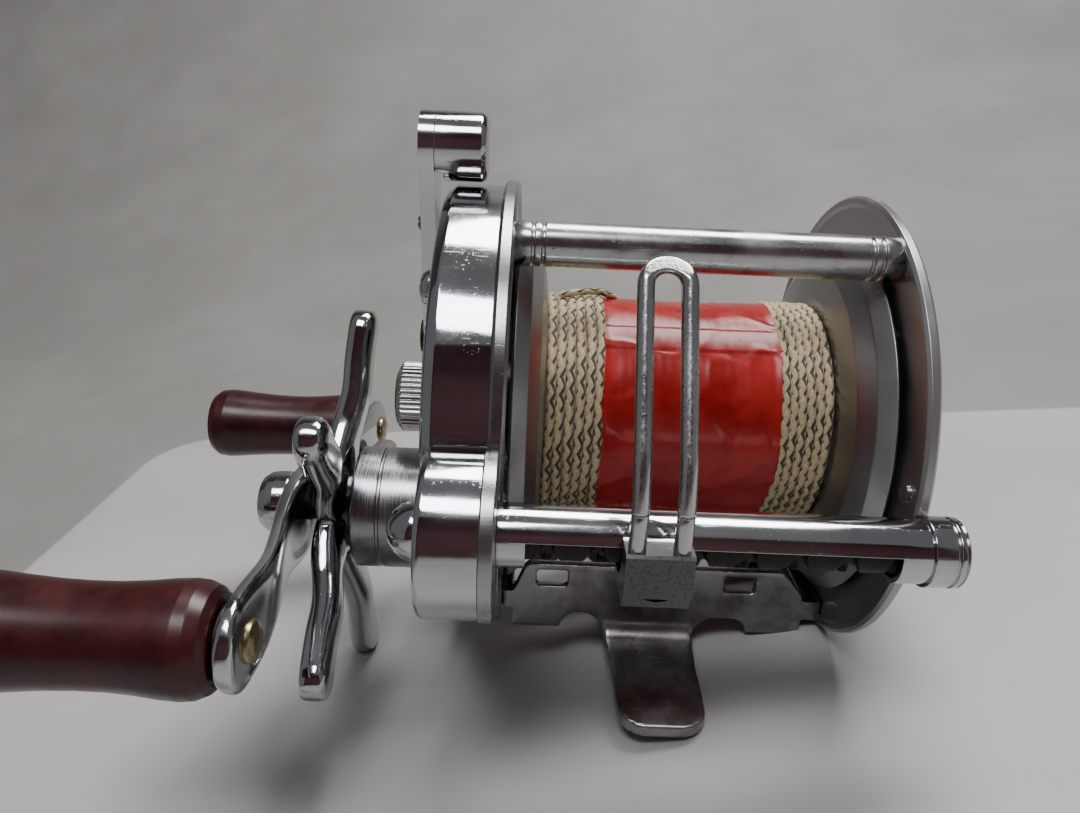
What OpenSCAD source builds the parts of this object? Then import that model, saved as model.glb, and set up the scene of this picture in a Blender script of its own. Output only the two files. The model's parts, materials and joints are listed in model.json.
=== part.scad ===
// Star-drag baitcasting reel with a level wind, built as separate pieces in one frame.
// X runs along the spool axis with the handle at -X, the line leaves towards -Y, +Z is up.
// The origin is the centre of the foot's flat underside. All sizes are in millimetres.

/* [Frame] */
// radius of the two side rings
ring_r = 40; // [36:0.5:44]
// height of the spool axis above the foot's underside
spool_z = 44; // [40:0.5:50]
// inner face of the handle side ring
handle_face = -28; // [-32:0.5:-24]
// inner face of the tail side ring
tail_face = 31.8; // [26:0.1:36]
// radius of the three cross pillars
pillar_r = 3.5; // [2.5:0.1:4]
// distance of the pillars from the spool axis
pillar_pitch = 36.3; // [36:0.1:37]

/* [Spool] */
// outer radius of the spool flanges
flange_r = 32.3; // [30:0.1:32.6]
// radius of the wound line
line_r = 20.5; // [14:0.5:28]
// radius of the spool shaft
shaft_r = 2.1; // [1.5:0.1:3]

/* [Gears] */
// size of every gear tooth, as a module
tooth_module = 0.8; // [0.6:0.1:1]
// teeth on the main gear
main_teeth = 38; // [30:1:40]
// teeth on the pinion
pinion_teeth = 16; // [12:1:20]
// teeth on the idler that drives the level wind
idler_teeth = 22; // [18:1:24]
// teeth on the level wind gear
wind_teeth = 24; // [18:1:26]
// thickness of the meshing gears
gear_t = 2.6; // [2:0.1:3]

/* [Level wind] */
// distance of the level wind tube in front of the spool axis
wind_y = -43.1; // [-46:0.1:-42]
// height of the level wind tube
wind_z = 39.3; // [36:0.1:44]
// outer radius of the level wind tube
tube_r = 4.6; // [4:0.1:6]
// centre of the carriage along the tube
carriage_x = -6.2; // [-20:0.1:20]
// spacing of the two legs of the line guide
guide_gap = 6; // [4:0.1:8]
// radius of the line guide wire
guide_r = 1.1; // [0.8:0.1:1.4]

/* [Handle] */
// distance of each grip from the crank axis
grip_reach = 47.5; // [40:0.5:55]
// slope of the handle arm, front end raised
arm_tilt = 3.9; // [-180:0.1:180]
// length of each grip
grip_len = 37.4; // [30:0.2:45]
// largest radius of each grip
grip_r = 8.25; // [6:0.05:10]
// tip radius of the star wheel
star_r = 38; // [30:0.5:40]
// angle of the first star arm from straight up, towards the back
star_start = 25.5; // [0:0.5:72]

/* [Foot] */
// length of the foot from front tip to back tip
foot_len = 76; // [66:1:80]
// width of the foot at its tips
foot_tip_w = 15; // [12:0.5:18]
// width of the foot where it meets the stand
foot_neck_w = 17; // [14:0.5:20]
// thickness of the foot's sheet
foot_t = 2.2; // [1.5:0.1:3]

/* [Hidden] */
$fn = 64;

run_gap = 0.06;
crank_y = -4.24;
crank_z = 22.82;
main_r = tooth_module * main_teeth / 2;
pinion_r = tooth_module * pinion_teeth / 2;
idler_r = tooth_module * idler_teeth / 2;
wind_r = tooth_module * wind_teeth / 2;
gear_x = -35.2;
plate_in = -30.05;
plate_t = 1.35;
cover_r = 39;
cover_face = -40;
cover_wall = 1.2;
lobe_r = 12;
lobe_face = -38.5;
lever_y = 5;
lever_z = 54.5;
lever_knob_z = 89.2;
tail_back = 33.4;
worm_r = 3.3;
crank_shaft_r = 3;
post_r = 1.8;

// the idler stands where it meshes with both the main gear and the level wind gear
crank_to_wind = norm([wind_y - crank_y, wind_z - crank_z]);
reach_a = main_r + idler_r;
reach_b = idler_r + wind_r;
along = (pow(reach_a, 2) - pow(reach_b, 2) + pow(crank_to_wind, 2)) / (2 * crank_to_wind);
aside = sqrt(pow(reach_a, 2) - pow(along, 2));
dir_y = (wind_y - crank_y) / crank_to_wind;
dir_z = (wind_z - crank_z) / crank_to_wind;
idler_y = crank_y + along * dir_y + aside * dir_z;
idler_z = crank_z + along * dir_z - aside * dir_y;

// angle from one axis to another, measured from +Y towards +Z
function bearing(y0, z0, y1, z1) = atan2(z1 - z0, y1 - y0);
// turns the second gear so that its gap faces the first gear's tooth
function mesh_turn(turn_a, teeth_a, teeth_b, ang) =
    ang + 180 - (0.5 - (ang - turn_a) * teeth_a / 360) * 360 / teeth_b;

pinion_turn = mesh_turn(0, main_teeth, pinion_teeth, bearing(crank_y, crank_z, 0, spool_z));
idler_turn = mesh_turn(0, main_teeth, idler_teeth, bearing(crank_y, crank_z, idler_y, idler_z));
wind_turn = mesh_turn(idler_turn, idler_teeth, wind_teeth,
    bearing(idler_y, idler_z, wind_y, wind_z));

pillar_pts = [[-17, 76.08], [35.4, 52.04], [24.5, 17.22]];

// round bar along X
module bar(r, x0, x1, y = 0, z = spool_z) {
    translate([x0, y, z]) rotate([0, 90, 0]) cylinder(r = r, h = x1 - x0);
}

// shape turned about a line along X, drawn as radius and X position
module turned(points, y = 0, z = spool_z) {
    translate([0, y, z]) rotate([0, 90, 0]) rotate_extrude() polygon(points);
}

// flat shape drawn in Y and Z and given a thickness along X
module sheet_x(x0, x1) {
    translate([x0, 0, 0]) rotate([90, 0, 90]) linear_extrude(height = x1 - x0) children();
}

// flat shape drawn in X and Z and given a thickness along Y
module sheet_y(y0, y1) {
    translate([0, y1, 0]) rotate([90, 0, 0]) linear_extrude(height = y1 - y0) children();
}

// straight round rod between two points
module rod(a, b, r) {
    v = b - a;
    translate(a) rotate([0, acos(v[2] / norm(v)), atan2(v[1], v[0])])
        cylinder(r = r, h = norm(v));
}

// round-headed screw whose head faces +X, seated at x0
module round_head(r, x0, h, y, z) {
    turned([[0, x0], [r, x0], [r, x0 + h * 0.35], [r * 0.82, x0 + h * 0.72],
        [r * 0.5, x0 + h * 0.93], [0, x0 + h]], y, z);
}

// screwdriver slot across a head
module slot(x0, x1, y, z, len, w = 0.7, turn = 0) {
    translate([(x0 + x1) / 2, y, z]) rotate([turn, 0, 0])
        cube([abs(x1 - x0), w, len], center = true);
}

// gear teeth, drawn flat
function inv_deg(r, rb) = let (a = acos(min(1, rb / r))) tan(a) * 180 / PI - a;
function flank(r, rp, rb, half) = half + inv_deg(rp, rb) - inv_deg(r, rb);
function polar(r, a) = [r * cos(a), r * sin(a)];
module gear_outline(teeth, m, turn) {
    rp = teeth * m / 2;
    rb = rp * cos(20);
    ra = rp + 0.8 * m;
    rr = rp - 1.05 * m;
    half = 90 / teeth - 0.09 / rp * 180 / PI / 2;
    low = max(rb, rr + 0.05);
    mid = (rp + low) / 2;
    polygon([for (i = [0 : teeth - 1]) let (c = turn + i * 360 / teeth) each [
        polar(rr, c - flank(low, rp, rb, half)),
        polar(low, c - flank(low, rp, rb, half)),
        polar(mid, c - flank(mid, rp, rb, half)),
        polar(rp, c - half),
        polar(ra, c - flank(ra, rp, rb, half)),
        polar(ra, c + flank(ra, rp, rb, half)),
        polar(rp, c + half),
        polar(mid, c + flank(mid, rp, rb, half)),
        polar(low, c + flank(low, rp, rb, half)),
        polar(rr, c + flank(low, rp, rb, half))
    ]]);
}
module gear(teeth, turn, x0, x1, y, z) {
    translate([0, y, z]) sheet_x(x0, x1) gear_outline(teeth, tooth_module, turn);
}

// ring plate with a raised bead round its edge, drawn once for each side
module handle_ring() color("silver") {
    bead = 0.5;
    difference() {
        union() {
            turned([[0, -29.95], [39.5, -29.95], [ring_r, -29.5], [ring_r, handle_face],
                [39.5, handle_face + bead], [38.6, handle_face + bead],
                [38, handle_face], [0, handle_face]]);
            bar(lobe_r + 0.3, -29.95, handle_face, wind_y, wind_z);
        }
        bar(33.2, -31, -26);
        bar(2.9, -31, -26, wind_y, wind_z);
        for (p = pillar_pts) {
            bar(1.6, -31, -26, p[0], p[1]);
            bar(pillar_r + 0.02, handle_face, -26, p[0], p[1]);
        }
        for (y = [-7, 7]) bar(1.5, -31, -26, y, 7.4);
        bar(tube_r + 0.02, handle_face, -26, wind_y, wind_z);
        translate([handle_face, -13.02, 3]) cube([2, 26.04, 9]);
    }
}

module tail_ring() color("silver") {
    bead = 0.5;
    difference() {
        union() {
            turned([[0, tail_face + bead], [38, tail_face + bead], [38.6, tail_face],
                [39.5, tail_face], [ring_r, tail_face + bead], [ring_r, tail_back],
                [39.5, tail_back + bead], [38.6, tail_back + bead], [38, tail_back],
                [0, tail_back]]);
            bar(7, tail_face + bead, tail_back, wind_y, wind_z);
        }
        bar(8, 30, 35);
        bar(tube_r, 30, 35, wind_y, wind_z);
        for (p = pillar_pts) {
            bar(1.6, 30, 35, p[0], p[1]);
            bar(pillar_r + 0.02, 30, tail_face + bead, p[0], p[1]);
            bar(2.42, tail_back, 35, p[0], p[1]);
        }
        for (y = [-7, 7]) {
            bar(1.5, 30, 35, y, 7.4);
            bar(2.42, tail_back, 35, y, 7.4);
        }
        bar(1.5, 30, 35, -35.4, 44.6);
        translate([30, -13.02, 3]) cube([tail_face + bead - 30, 26.04, 9]);
        for (a = [45 : 90 : 315]) bar(1, 30, 35, 29 * cos(a), spool_z + 29 * sin(a));
    }
}

// cross pillar with paired grooves near both ends
module pillars() color("silver") {
    x0 = handle_face;
    x1 = tail_face + 0.5;
    g = pillar_r - 0.35;
    for (p = pillar_pts)
        turned([[0, x0], [pillar_r, x0], [pillar_r, x0 + 3], [g, x0 + 3.2], [g, x0 + 3.6],
            [pillar_r, x0 + 3.8], [pillar_r, x0 + 4.6], [g, x0 + 4.8], [g, x0 + 5.2],
            [pillar_r, x0 + 5.4], [pillar_r, x1 - 5.4], [g, x1 - 5.2], [g, x1 - 4.8],
            [pillar_r, x1 - 4.6], [pillar_r, x1 - 3.8], [g, x1 - 3.6], [g, x1 - 3.2],
            [pillar_r, x1 - 3], [pillar_r, x1], [0, x1]], p[0], p[1]);
}

// screws through the rings into the pillars, and the plate screw near the front
module ring_screws() color("gainsboro") {
    for (p = pillar_pts) {
        bar(1.6, -29.9, handle_face, p[0], p[1]);
        difference() {
            union() {
                bar(1.6, tail_face + 0.5, tail_back, p[0], p[1]);
                round_head(2.4, tail_back, 1.5, p[0], p[1]);
            }
            slot(34.4, 35.2, p[0], p[1], 6, 0.7, 30);
        }
    }
    difference() {
        union() {
            bar(1.5, 31.7, tail_back, -35.4, 44.6);
            round_head(2.5, tail_back, 2.2, -35.4, 44.6);
        }
        slot(35, 36, -35.4, 44.6, 6, 0.7, 15);
    }
}

// flat outline of one stand wall, with two windows and a scalloped lower edge
module stand_wall() {
    half_neck = foot_neck_w / 2;
    difference() {
        polygon(concat(
            [[-half_neck, 0], [half_neck, 0]],
            [for (a = [0 : 15 : 90]) [half_neck + 4.4 - 4.4 * cos(a), 2 + 4.4 * sin(a)]],
            [for (a = [0 : 15 : 90]) [15.6 + 3.1 * sin(a), 3.4 + 3 * cos(a)]],
            [[28.9, 3.4], [28.9, 10.4], [28.4, 12.2], [25.6, 15.6], [24.6, 16.6],
                [-23.2, 16.6], [-24, 15.8], [-24.4, 14.6], [-25.9, 10.8], [-25.9, 3.2]],
            [for (a = [90 : -15 : 0]) [-13.6 - 3.1 * sin(a), 3.2 + 3.2 * cos(a)]],
            [for (a = [90 : -15 : 0]) [-half_neck - 4.4 + 4.4 * cos(a), 2 + 4.4 * sin(a)]]
        ));
        translate([-21.6, 12]) square([5.8, 3.4]);
        translate([13.6, 12]) square([5.8, 3.4]);
    }
}

// stamped foot: a flat blade, a wall in front and behind, and a tab at each ring
module reel_foot() color("silver") {
    half_tip = foot_tip_w / 2;
    half_neck = foot_neck_w / 2;
    tip = foot_len / 2;
    c = 5;
    difference() {
        union() {
            for (s = [1, -1]) linear_extrude(height = foot_t) polygon(concat(
                [[half_neck, 0], [half_neck, s * 13], [half_tip + 0.3, s * (tip - 16)]],
                [for (a = [0 : 15 : 90]) [half_tip - c + c * cos(a), s * (tip - c + c * sin(a))]],
                [for (a = [90 : -15 : 0]) [c - half_tip - c * cos(a), s * (tip - c + c * sin(a))]],
                [[-half_tip - 0.3, s * (tip - 16)], [-half_neck, s * 13], [-half_neck, 0]]
            ));
            sheet_y(-13, -11) stand_wall();
            sheet_y(11, 13) stand_wall();
            translate([handle_face, -13, 3.2]) cube([2.1, 26, 7.6]);
            translate([28.9, -13, 3.4]) cube([tail_face + 0.5 - 28.9, 26, 7.4]);
        }
        difference() {
            bar(60, -29, 33);
            bar(39.4, -30, 34);
            translate([-25.9, -40, -5]) cube([54.8, 80, 30]);
        }
        for (y = [-7, 7]) bar(1.5, -29, 33, y, 7.4);
    }
}

module foot_screws() color("gainsboro") {
    for (y = [-7, 7]) {
        bar(1.5, -29.9, -24.8, y, 7.4);
        difference() {
            union() {
                bar(1.5, 27.6, tail_back, y, 7.4);
                round_head(2.4, tail_back, 1.5, y, 7.4);
            }
            slot(34.4, 35.2, y, 7.4, 6, 0.7, 60);
        }
        sheet_x(27.7, 28.9) translate([y, 7.4]) circle(r = 2.4, $fn = 6);
    }
}

// level wind tube, cut away below so that it roofs the worm
module wind_tube() color("silver") {
    front_edge = 14;
    back_edge = 20;
    far = 12;
    difference() {
        bar(tube_r, handle_face, 34, wind_y, wind_z);
        bar(3.8, -29, 35, wind_y, wind_z);
        translate([0, wind_y, wind_z]) sheet_x(-24, 27.6) polygon([
            [0, 0], [-far, far * tan(front_edge)], [-far, -far], [far, -far],
            [far, -far * tan(back_edge)]]);
    }
}

module tube_end_cap() color("silver") {
    c = 5;
    difference() {
        turned([[0, 34], [c, 34], [c, 35], [c - 0.3, 35.15], [c - 0.3, 35.4], [c, 35.55],
            [c, 36.2], [4.4, 36.8], [3.2, 37.2], [0, 37.5]], wind_y, wind_z);
        bar(2 + run_gap, 33, 36.2, wind_y, wind_z);
    }
}

// inner plate that carries the gear posts
module gear_plate() color("lightgray") {
    difference() {
        union() {
            bar(37.4, plate_in - plate_t, plate_in);
            bar(10.5, plate_in - plate_t, plate_in, wind_y, wind_z);
            translate([plate_in - plate_t, wind_y, wind_z - 8]) cube([plate_t, 14, 18]);
        }
        bar(3.6, -32, -29);
        bar(crank_shaft_r + run_gap, -32, -29, crank_y, crank_z);
        bar(2.9, -32, -29, wind_y, wind_z);
        bar(1.6, -32, -29, idler_y, idler_z);
    }
}

// deep cover with a round lobe over the level wind gear
module gear_cover() color("silver") {
    inner_r = cover_r - cover_wall;
    difference() {
        union() {
            turned([[0, cover_face], [36.6, cover_face], [37.7, -39.7], [38.5, -39.1],
                [38.9, -38.3], [cover_r, -37.4], [cover_r, plate_in + 0.1],
                [0, plate_in + 0.1]]);
            turned([[0, lobe_face], [10.9, lobe_face], [11.6, -38.2], [lobe_r, -37.6],
                [lobe_r, plate_in + 0.1], [0, plate_in + 0.1]], wind_y, wind_z);
            turned([[0, -46], [5, -46], [5.2, -45.8], [5.2, -39], [0, -39]]);
            turned([[0, -41.6], [4.4, -41.6], [4.6, -41.4], [4.6, -39], [0, -39]],
                lever_y, lever_z);
        }
        bar(inner_r, -38.7, -29);
        bar(lobe_r - cover_wall, -37.3, -29, wind_y, wind_z);
        bar(3.6, -47, -38);
        bar(9, -41, -38, crank_y, crank_z);
        bar(2 + run_gap, -41, -37, wind_y, wind_z);
        bar(post_r + run_gap, -42, -38, lever_y, lever_z);
        for (p = cover_screw_pts) bar(1.4, -41, -38, p[0], p[1]);
    }
}
cover_screw_pts = [[-23, 32.5], [24, 24], [27, 62], [-20, 69]];

module cover_screws() color("gainsboro") {
    for (p = cover_screw_pts) {
        bar(1.4, cover_face, -38.7, p[0], p[1]);
        difference() {
            turned([[0, -42], [1.4, -41.9], [2.4, -41.4], [2.9, -40.6], [3, cover_face],
                [0, cover_face]], p[0], p[1]);
            slot(-42.2, -41.2, p[0], p[1], 7, 0.8, 40);
        }
    }
}

// round cap over the end of the level wind shaft
module wind_dome() color("silver") {
    r = 4.3;
    difference() {
        turned(concat([[0, lobe_face], [r, lobe_face], [r, lobe_face - 0.8]],
            [for (a = [15 : 15 : 75]) [r * cos(a), lobe_face - 0.8 - r * sin(a)]],
            [[0, lobe_face - 0.8 - r]]), wind_y, wind_z);
        bar(2 + run_gap, -41, -38, wind_y, wind_z);
    }
}

// tube that carries the crank out past the cover
module bridge_sleeve() color("silver") {
    r = 11.4;
    difference() {
        turned([[0, -55.8], [r - 0.6, -55.8], [r, -55.2], [r, cover_face], [0, cover_face]],
            crank_y, crank_z);
        bar(9, -49.5, -39, crank_y, crank_z);
        bar(4.6 + run_gap, -57, -48, crank_y, crank_z);
    }
}

module handle_bushing() color("goldenrod") {
    difference() {
        bar(3.6, -46, -40.2);
        bar(shaft_r + run_gap, -47, -39);
    }
}

module tail_bushing() color("goldenrod") {
    difference() {
        bar(3.6, 36.6, 41.4);
        bar(shaft_r + run_gap, 36, 42);
    }
}

// dished cover on the tail plate, with a boss for the bearing
module tail_cover() color("silver") {
    difference() {
        union() {
            turned([[0, tail_back], [31, tail_back], [31.3, 33.8], [31, 34.5], [28.2, 35.2],
                [25.5, 37.4], [23, 38.4], [0, 38.9]]);
            bar(6.8, 38, 42);
        }
        difference() {
            turned([[0, 33.3], [26.4, 33.3], [24.2, 36.4], [22, 37.2], [0, 37.6]]);
            turned([[0, 36.5], [6.8, 36.5], [6.8, 38], [0, 38]]);
        }
        bar(3.6, 36, 43);
        translate([36, -1.3, spool_z + 12]) cube([4, 2.6, 9.6]);
        for (a = [45 : 90 : 315]) {
            bar(1, 33, 36, 29 * cos(a), spool_z + 29 * sin(a));
            bar(1.72, 35, 36.5, 29 * cos(a), spool_z + 29 * sin(a));
        }
    }
}

module tail_screws() color("gainsboro") {
    for (a = [45 : 90 : 315]) {
        y = 29 * cos(a);
        z = spool_z + 29 * sin(a);
        difference() {
            union() {
                bar(1, 31.6, 35, y, z);
                turned([[0, 35], [1.7, 35], [1.6, 35.6], [1, 36], [0, 36.1]], y, z);
            }
            slot(35.6, 36.4, y, z, 4, 0.5, a);
        }
    }
}

// closed cap over the tail bearing
module tail_cap() color("silver") {
    difference() {
        turned([[0, 39.1], [8, 39.1], [8, 41.6], [7.4, 43.2], [5.8, 44.2], [0, 44.6]]);
        turned([[0, 39], [6.8, 39], [6.8, 42.1], [0, 42.1]]);
        slot(44, 45, 0, spool_z, 12, 1, 20);
    }
}

module idler_post() color("gray") {
    bar(1.6, -36.4, plate_in, idler_y, idler_z);
}

dog_y = crank_y + 11.5;
dog_z = crank_z - 2;
module dog_post() color("gray") {
    bar(1.2, -32.3, plate_in - plate_t, dog_y, dog_z);
}

// pawl that rides just clear of the ratchet wheel
module anti_reverse_dog() color("dimgray") {
    sheet_x(-32.25, -31.75) difference() {
        polygon([[dog_y - 2.2, dog_z - 1.4], [dog_y, dog_z - 2.4], [dog_y + 2.2, dog_z - 1],
            [dog_y + 2.2, dog_z + 1.4], [dog_y + 0.6, dog_z + 5.4],
            [dog_y - 2.2, dog_z + 7.6], [dog_y - 2.4, dog_z + 6.4], [dog_y - 1.9, dog_z + 2]]);
        translate([dog_y, dog_z]) circle(r = 1.2 + run_gap);
    }
}

// sliding button that sets the click
module click_button() color("silver") {
    z = spool_z + 19.6;
    bar(1.2, 35.4, 39.2, 0, z);
    turned([[0, 39.2], [3.2, 39.2], [3.4, 39.6], [3, 40.6], [0, 41]], 0, z);
}

module click_pawl() color("dimgray") {
    z = spool_z + 19.6;
    sheet_x(34.2, 35.4) polygon([[-2, z + 2], [2, z + 2], [2, z - 6], [0.6, z - 10.8],
        [-0.6, z - 10.8], [-2, z - 6]]);
}

// knurled cap that sets the spool's end play
module tension_knob() color("silver") {
    ridges = 40;
    step = 360 / ridges;
    difference() {
        union() {
            turned([[0, -48.9], [5, -48.9], [5.8, -48.5], [6.1, -47.8], [6.1, -42], [0, -42]]);
            translate([0, 0, spool_z]) sheet_x(-47.8, -42.4) polygon([
                for (i = [0 : ridges - 1]) each [
                    polar(6.2, i * step), polar(6.6, (i + 0.3) * step),
                    polar(6.6, (i + 0.7) * step)]
            ]);
        }
        turned([[0, -47.6], [5.2 + run_gap, -47.6], [5.2 + run_gap, -41], [0, -41]]);
    }
}

module tension_pad() color("goldenrod") {
    bar(4.4, -47.6, -46.4);
}

module spool_shaft() color("silver") {
    turned([[0, -45.9], [1.6, -45.8], [shaft_r, -45.3], [shaft_r, 40.9], [1.6, 41.4],
        [0, 41.5]]);
}

module spool_arbor() color("silver") {
    difference() {
        bar(9, -21.9, 26.1);
        bar(shaft_r, -24, 28);
    }
}

// dished spool flanges
module handle_flange() color("silver") {
    turned([[shaft_r, -21.9], [22, -21.9], [27, -22.7], [30.4, -24.4], [32, -26.3],
        [flange_r, -26.9], [32.1, -27.4], [31.4, -27.4], [29.6, -25.4], [26.6, -23.8],
        [22, -22.9], [8, -22.9], [7, -29], [shaft_r, -29]]);
}

module tail_flange() color("silver") {
    turned([[shaft_r, 26.1], [22, 26.1], [27, 26.9], [30.4, 28.7], [32, 30.6],
        [flange_r, 31.1], [32.1, 31.6], [31.4, 31.6], [29.6, 29.7], [26.6, 27.9],
        [22, 27.1], [8, 27.1], [7, 31], [shaft_r, 31]]);
}

tape_x0 = -12.2;
tape_x1 = 17.6;
// all of the line on the spool, drawn in where the tape holds it
module line_pack() color("tan") {
    turned([[9, -21.9], [line_r - 0.4, -21.9], [line_r, -21.3], [line_r, tape_x0 - 0.2],
        [line_r - 1.3, tape_x0], [line_r - 1.3, tape_x1], [line_r, tape_x1 + 0.2],
        [line_r, 25.5], [line_r - 0.4, 26.1], [9, 26.1]]);
}

module red_tape() color("red") {
    turned([[line_r - 1.3, tape_x0], [line_r - 0.5, tape_x0], [line_r - 0.5, tape_x1],
        [line_r - 1.3, tape_x1]]);
}

module click_wheel() color("dimgray") {
    teeth = 12;
    difference() {
        translate([0, 0, spool_z]) sheet_x(34.2, 35.4) polygon([
            for (i = [0 : teeth - 1]) each [polar(5.4, i * 30), polar(4.2, i * 30 + 15)]]);
        bar(shaft_r, 34, 36);
    }
}

// fork that slides the pinion out of drive
module clutch_yoke() color("dimgray") {
    sheet_x(-36.75, -36.2) difference() {
        union() {
            translate([0, spool_z]) circle(r = 7.4);
            translate([lever_y, lever_z]) circle(r = 5);
            polygon([[-7, 46], [7, 42], [9.6, 53], [1.2, 57.4]]);
        }
        translate([0, spool_z]) circle(r = 4.4);
        translate([-4.4, spool_z - 12]) square([8.8, 12]);
        translate([lever_y, lever_z]) circle(r = post_r + 0.4);
    }
}

module pinion() color("goldenrod") {
    difference() {
        union() {
            gear(pinion_teeth, pinion_turn, -36, -31.8, 0, spool_z);
            bar(4.2, -37, -35.8);
            bar(5.4, -37.5, -37);
        }
        bar(shaft_r + run_gap, -38, -31);
    }
}

module crank_shaft() color("silver") {
    bar(crank_shaft_r, -72, plate_in, crank_y, crank_z);
    bar(3.8, -31.8, plate_in - plate_t - 0.1, crank_y, crank_z);
}

module main_gear() color("goldenrod") {
    difference() {
        gear(main_teeth, 0, gear_x, gear_x + gear_t, crank_y, crank_z);
        bar(crank_shaft_r, -36, -32, crank_y, crank_z);
        for (a = [30 : 60 : 330])
            bar(1.7, -36, -32, crank_y + 11.7 * cos(a), crank_z + 11.7 * sin(a));
    }
}

module drag_washers() color("saddlebrown") {
    for (x = [-35.9, -36.7]) difference() {
        bar(9, x, x + 0.6, crank_y, crank_z);
        bar(crank_shaft_r, x - 1, x + 2, crank_y, crank_z);
    }
}

module drag_sleeve() color("silver") {
    difference() {
        union() {
            bar(4.6, -56, -36.8, crank_y, crank_z);
            bar(8.6, -38.2, -36.8, crank_y, crank_z);
        }
        bar(crank_shaft_r, -57, -36, crank_y, crank_z);
    }
}

module ratchet_wheel() color("dimgray") {
    teeth = 14;
    difference() {
        translate([0, crank_y, crank_z]) sheet_x(gear_x + gear_t, -31.9) polygon([
            for (i = [0 : teeth - 1]) each [
                polar(9, i * 360 / teeth), polar(7.4, i * 360 / teeth + 3)]]);
        bar(3.8, -33, -31, crank_y, crank_z);
    }
}

// X position of a bent arm's middle, easing from one value to another
function ease(s, s0, s1, a, b) =
    s <= s0 ? a : s >= s1 ? b : a + (b - a) * (1 - cos(180 * (s - s0) / (s1 - s0))) / 2;

function arm_x(s) = ease(abs(s), 9, 42, -66, -62.3);
function arm_half(s) = ease(abs(s), 4, 22, 2, 1.5);
function arm_side(s) = ease(abs(s), 5, 26, 8.2, 5.4) + ease(abs(s), 28, 45, 0, 1.6);

// double arm, bent towards the reel at both ends
module handle_arm() color("silver") {
    steps = [-56 : 2 : 56];
    difference() {
        translate([0, crank_y, crank_z]) rotate([-arm_tilt, 0, 0]) intersection() {
            translate([0, 0, -10]) linear_extrude(height = 20) polygon(concat(
                [for (s = steps) [arm_x(s) - arm_half(s), s]],
                [for (s = steps) [arm_x(-s) + arm_half(s), -s]]
            ));
            sheet_x(-70, -58) polygon(concat(
                [for (s = [-grip_reach : 2.5 : grip_reach]) [s, arm_side(s)]],
                [for (a = [80 : -10 : -80]) [grip_reach + 7 * cos(a), 7 * sin(a)]],
                [for (s = [-grip_reach : 2.5 : grip_reach]) [-s, -arm_side(s)]],
                [for (a = [80 : -10 : -80]) [-grip_reach - 7 * cos(a), -7 * sin(a)]]
            ));
        }
        bar(crank_shaft_r, -80, -50, crank_y, crank_z);
        for (s = [-1, 1]) bar(post_r, -80, -50, grip_y(s), grip_z(s));
    }
}
function grip_y(s) = crank_y + s * grip_reach * cos(arm_tilt);
function grip_z(s) = crank_z - s * grip_reach * sin(arm_tilt);

module handle_nut() color("silver") {
    difference() {
        turned([[0, -75.2], [2.6, -75], [4.6, -74.2], [5.6, -72.9], [5.9, -71.6],
            [5.9, -69], [5.5, -68], [0, -68]], crank_y, crank_z);
        bar(crank_shaft_r, -72, -67, crank_y, crank_z);
    }
}

// riveted posts that the grips turn on
module grip_posts() color("goldenrod") {
    for (s = [-1, 1]) {
        bar(post_r, -97.4, -60.8, grip_y(s), grip_z(s));
        turned([[0, -60.8], [3.1, -60.8], [2.8, -60.2], [1.9, -59.7], [0, -59.5]],
            grip_y(s), grip_z(s));
    }
}

module grip_collars() color("black") {
    for (s = [-1, 1]) difference() {
        bar(5.2, -64.2, -63.8, grip_y(s), grip_z(s));
        bar(post_r, -65, -63, grip_y(s), grip_z(s));
    }
}

// torpedo grip with a waist
module grip(s) {
    x0 = -64.5;
    x1 = x0 - grip_len;
    bore = post_r + run_gap;
    turned([[bore, x0], [6.4, x0], [7.3, x0 - 1], [8, x0 - 2.6], [8.15, x0 - 4.4],
        [8, x0 - 7], [7.6, x0 - 10.5], [7.3, x0 - 14.5], [7.25, x0 - 18.5], [7.4, x0 - 23],
        [7.75, x1 + 9.9], [8.1, x1 + 6.7], [grip_r, x1 + 4.4], [8, x1 + 2],
        [7, x1 + 0.5], [5, x1], [0, x1], [0, x1 + 4],
        [bore, x1 + 4]], grip_y(s), grip_z(s));
}
module grip_front() color("maroon") grip(-1);
module grip_rear() color("maroon") grip(1);

function star_x(s) = s < 12 ? -60 : ease(s, 10, 24, -60, -57.9) + ease(s, 26, 38, 0, 0.6);
function star_half(s) = ease(s, 8, 20, 2.5, 2.1);
function star_side(s) = ease(s, 8, 18, 6, 3.9);

// five-armed drag wheel
module star_drag() color("silver") {
    steps = [3 : 1.75 : 38];
    difference() {
        union() {
            turned([[0, -62.6], [6.6, -62.6], [7.4, -61.8], [8.6, -59.4], [8.8, -58],
                [7, -56.4], [0, -56.4]], crank_y, crank_z);
            for (i = [0 : 4]) translate([0, crank_y, crank_z])
                rotate([90 - star_start + i * 72, 0, 0]) intersection() {
                    translate([0, 0, -8]) linear_extrude(height = 16) polygon(concat(
                        [for (s = steps) [star_x(s) - star_half(s), s]],
                        [for (s = steps) [star_x(41 - s) + star_half(41 - s), 41 - s]]
                    ));
                    sheet_x(-65, -53) union() {
                        polygon(concat(
                            [for (s = [3 : 1.5 : 34.5]) [s, star_side(s)]],
                            [for (s = [3 : 1.5 : 34.5]) [37.5 - s, -star_side(37.5 - s)]]
                        ));
                        translate([star_r - 3.9, 0]) circle(r = 3.9);
                    }
                }
        }
        bar(crank_shaft_r + run_gap, -64, -54, crank_y, crank_z);
    }
}

module idler_gear() color("goldenrod") {
    difference() {
        union() {
            gear(idler_teeth, idler_turn, gear_x, gear_x + gear_t, idler_y, idler_z);
            bar(3, -35.9, -31.8, idler_y, idler_z);
        }
        bar(1.6 + run_gap, -37, -31, idler_y, idler_z);
    }
}

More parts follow.
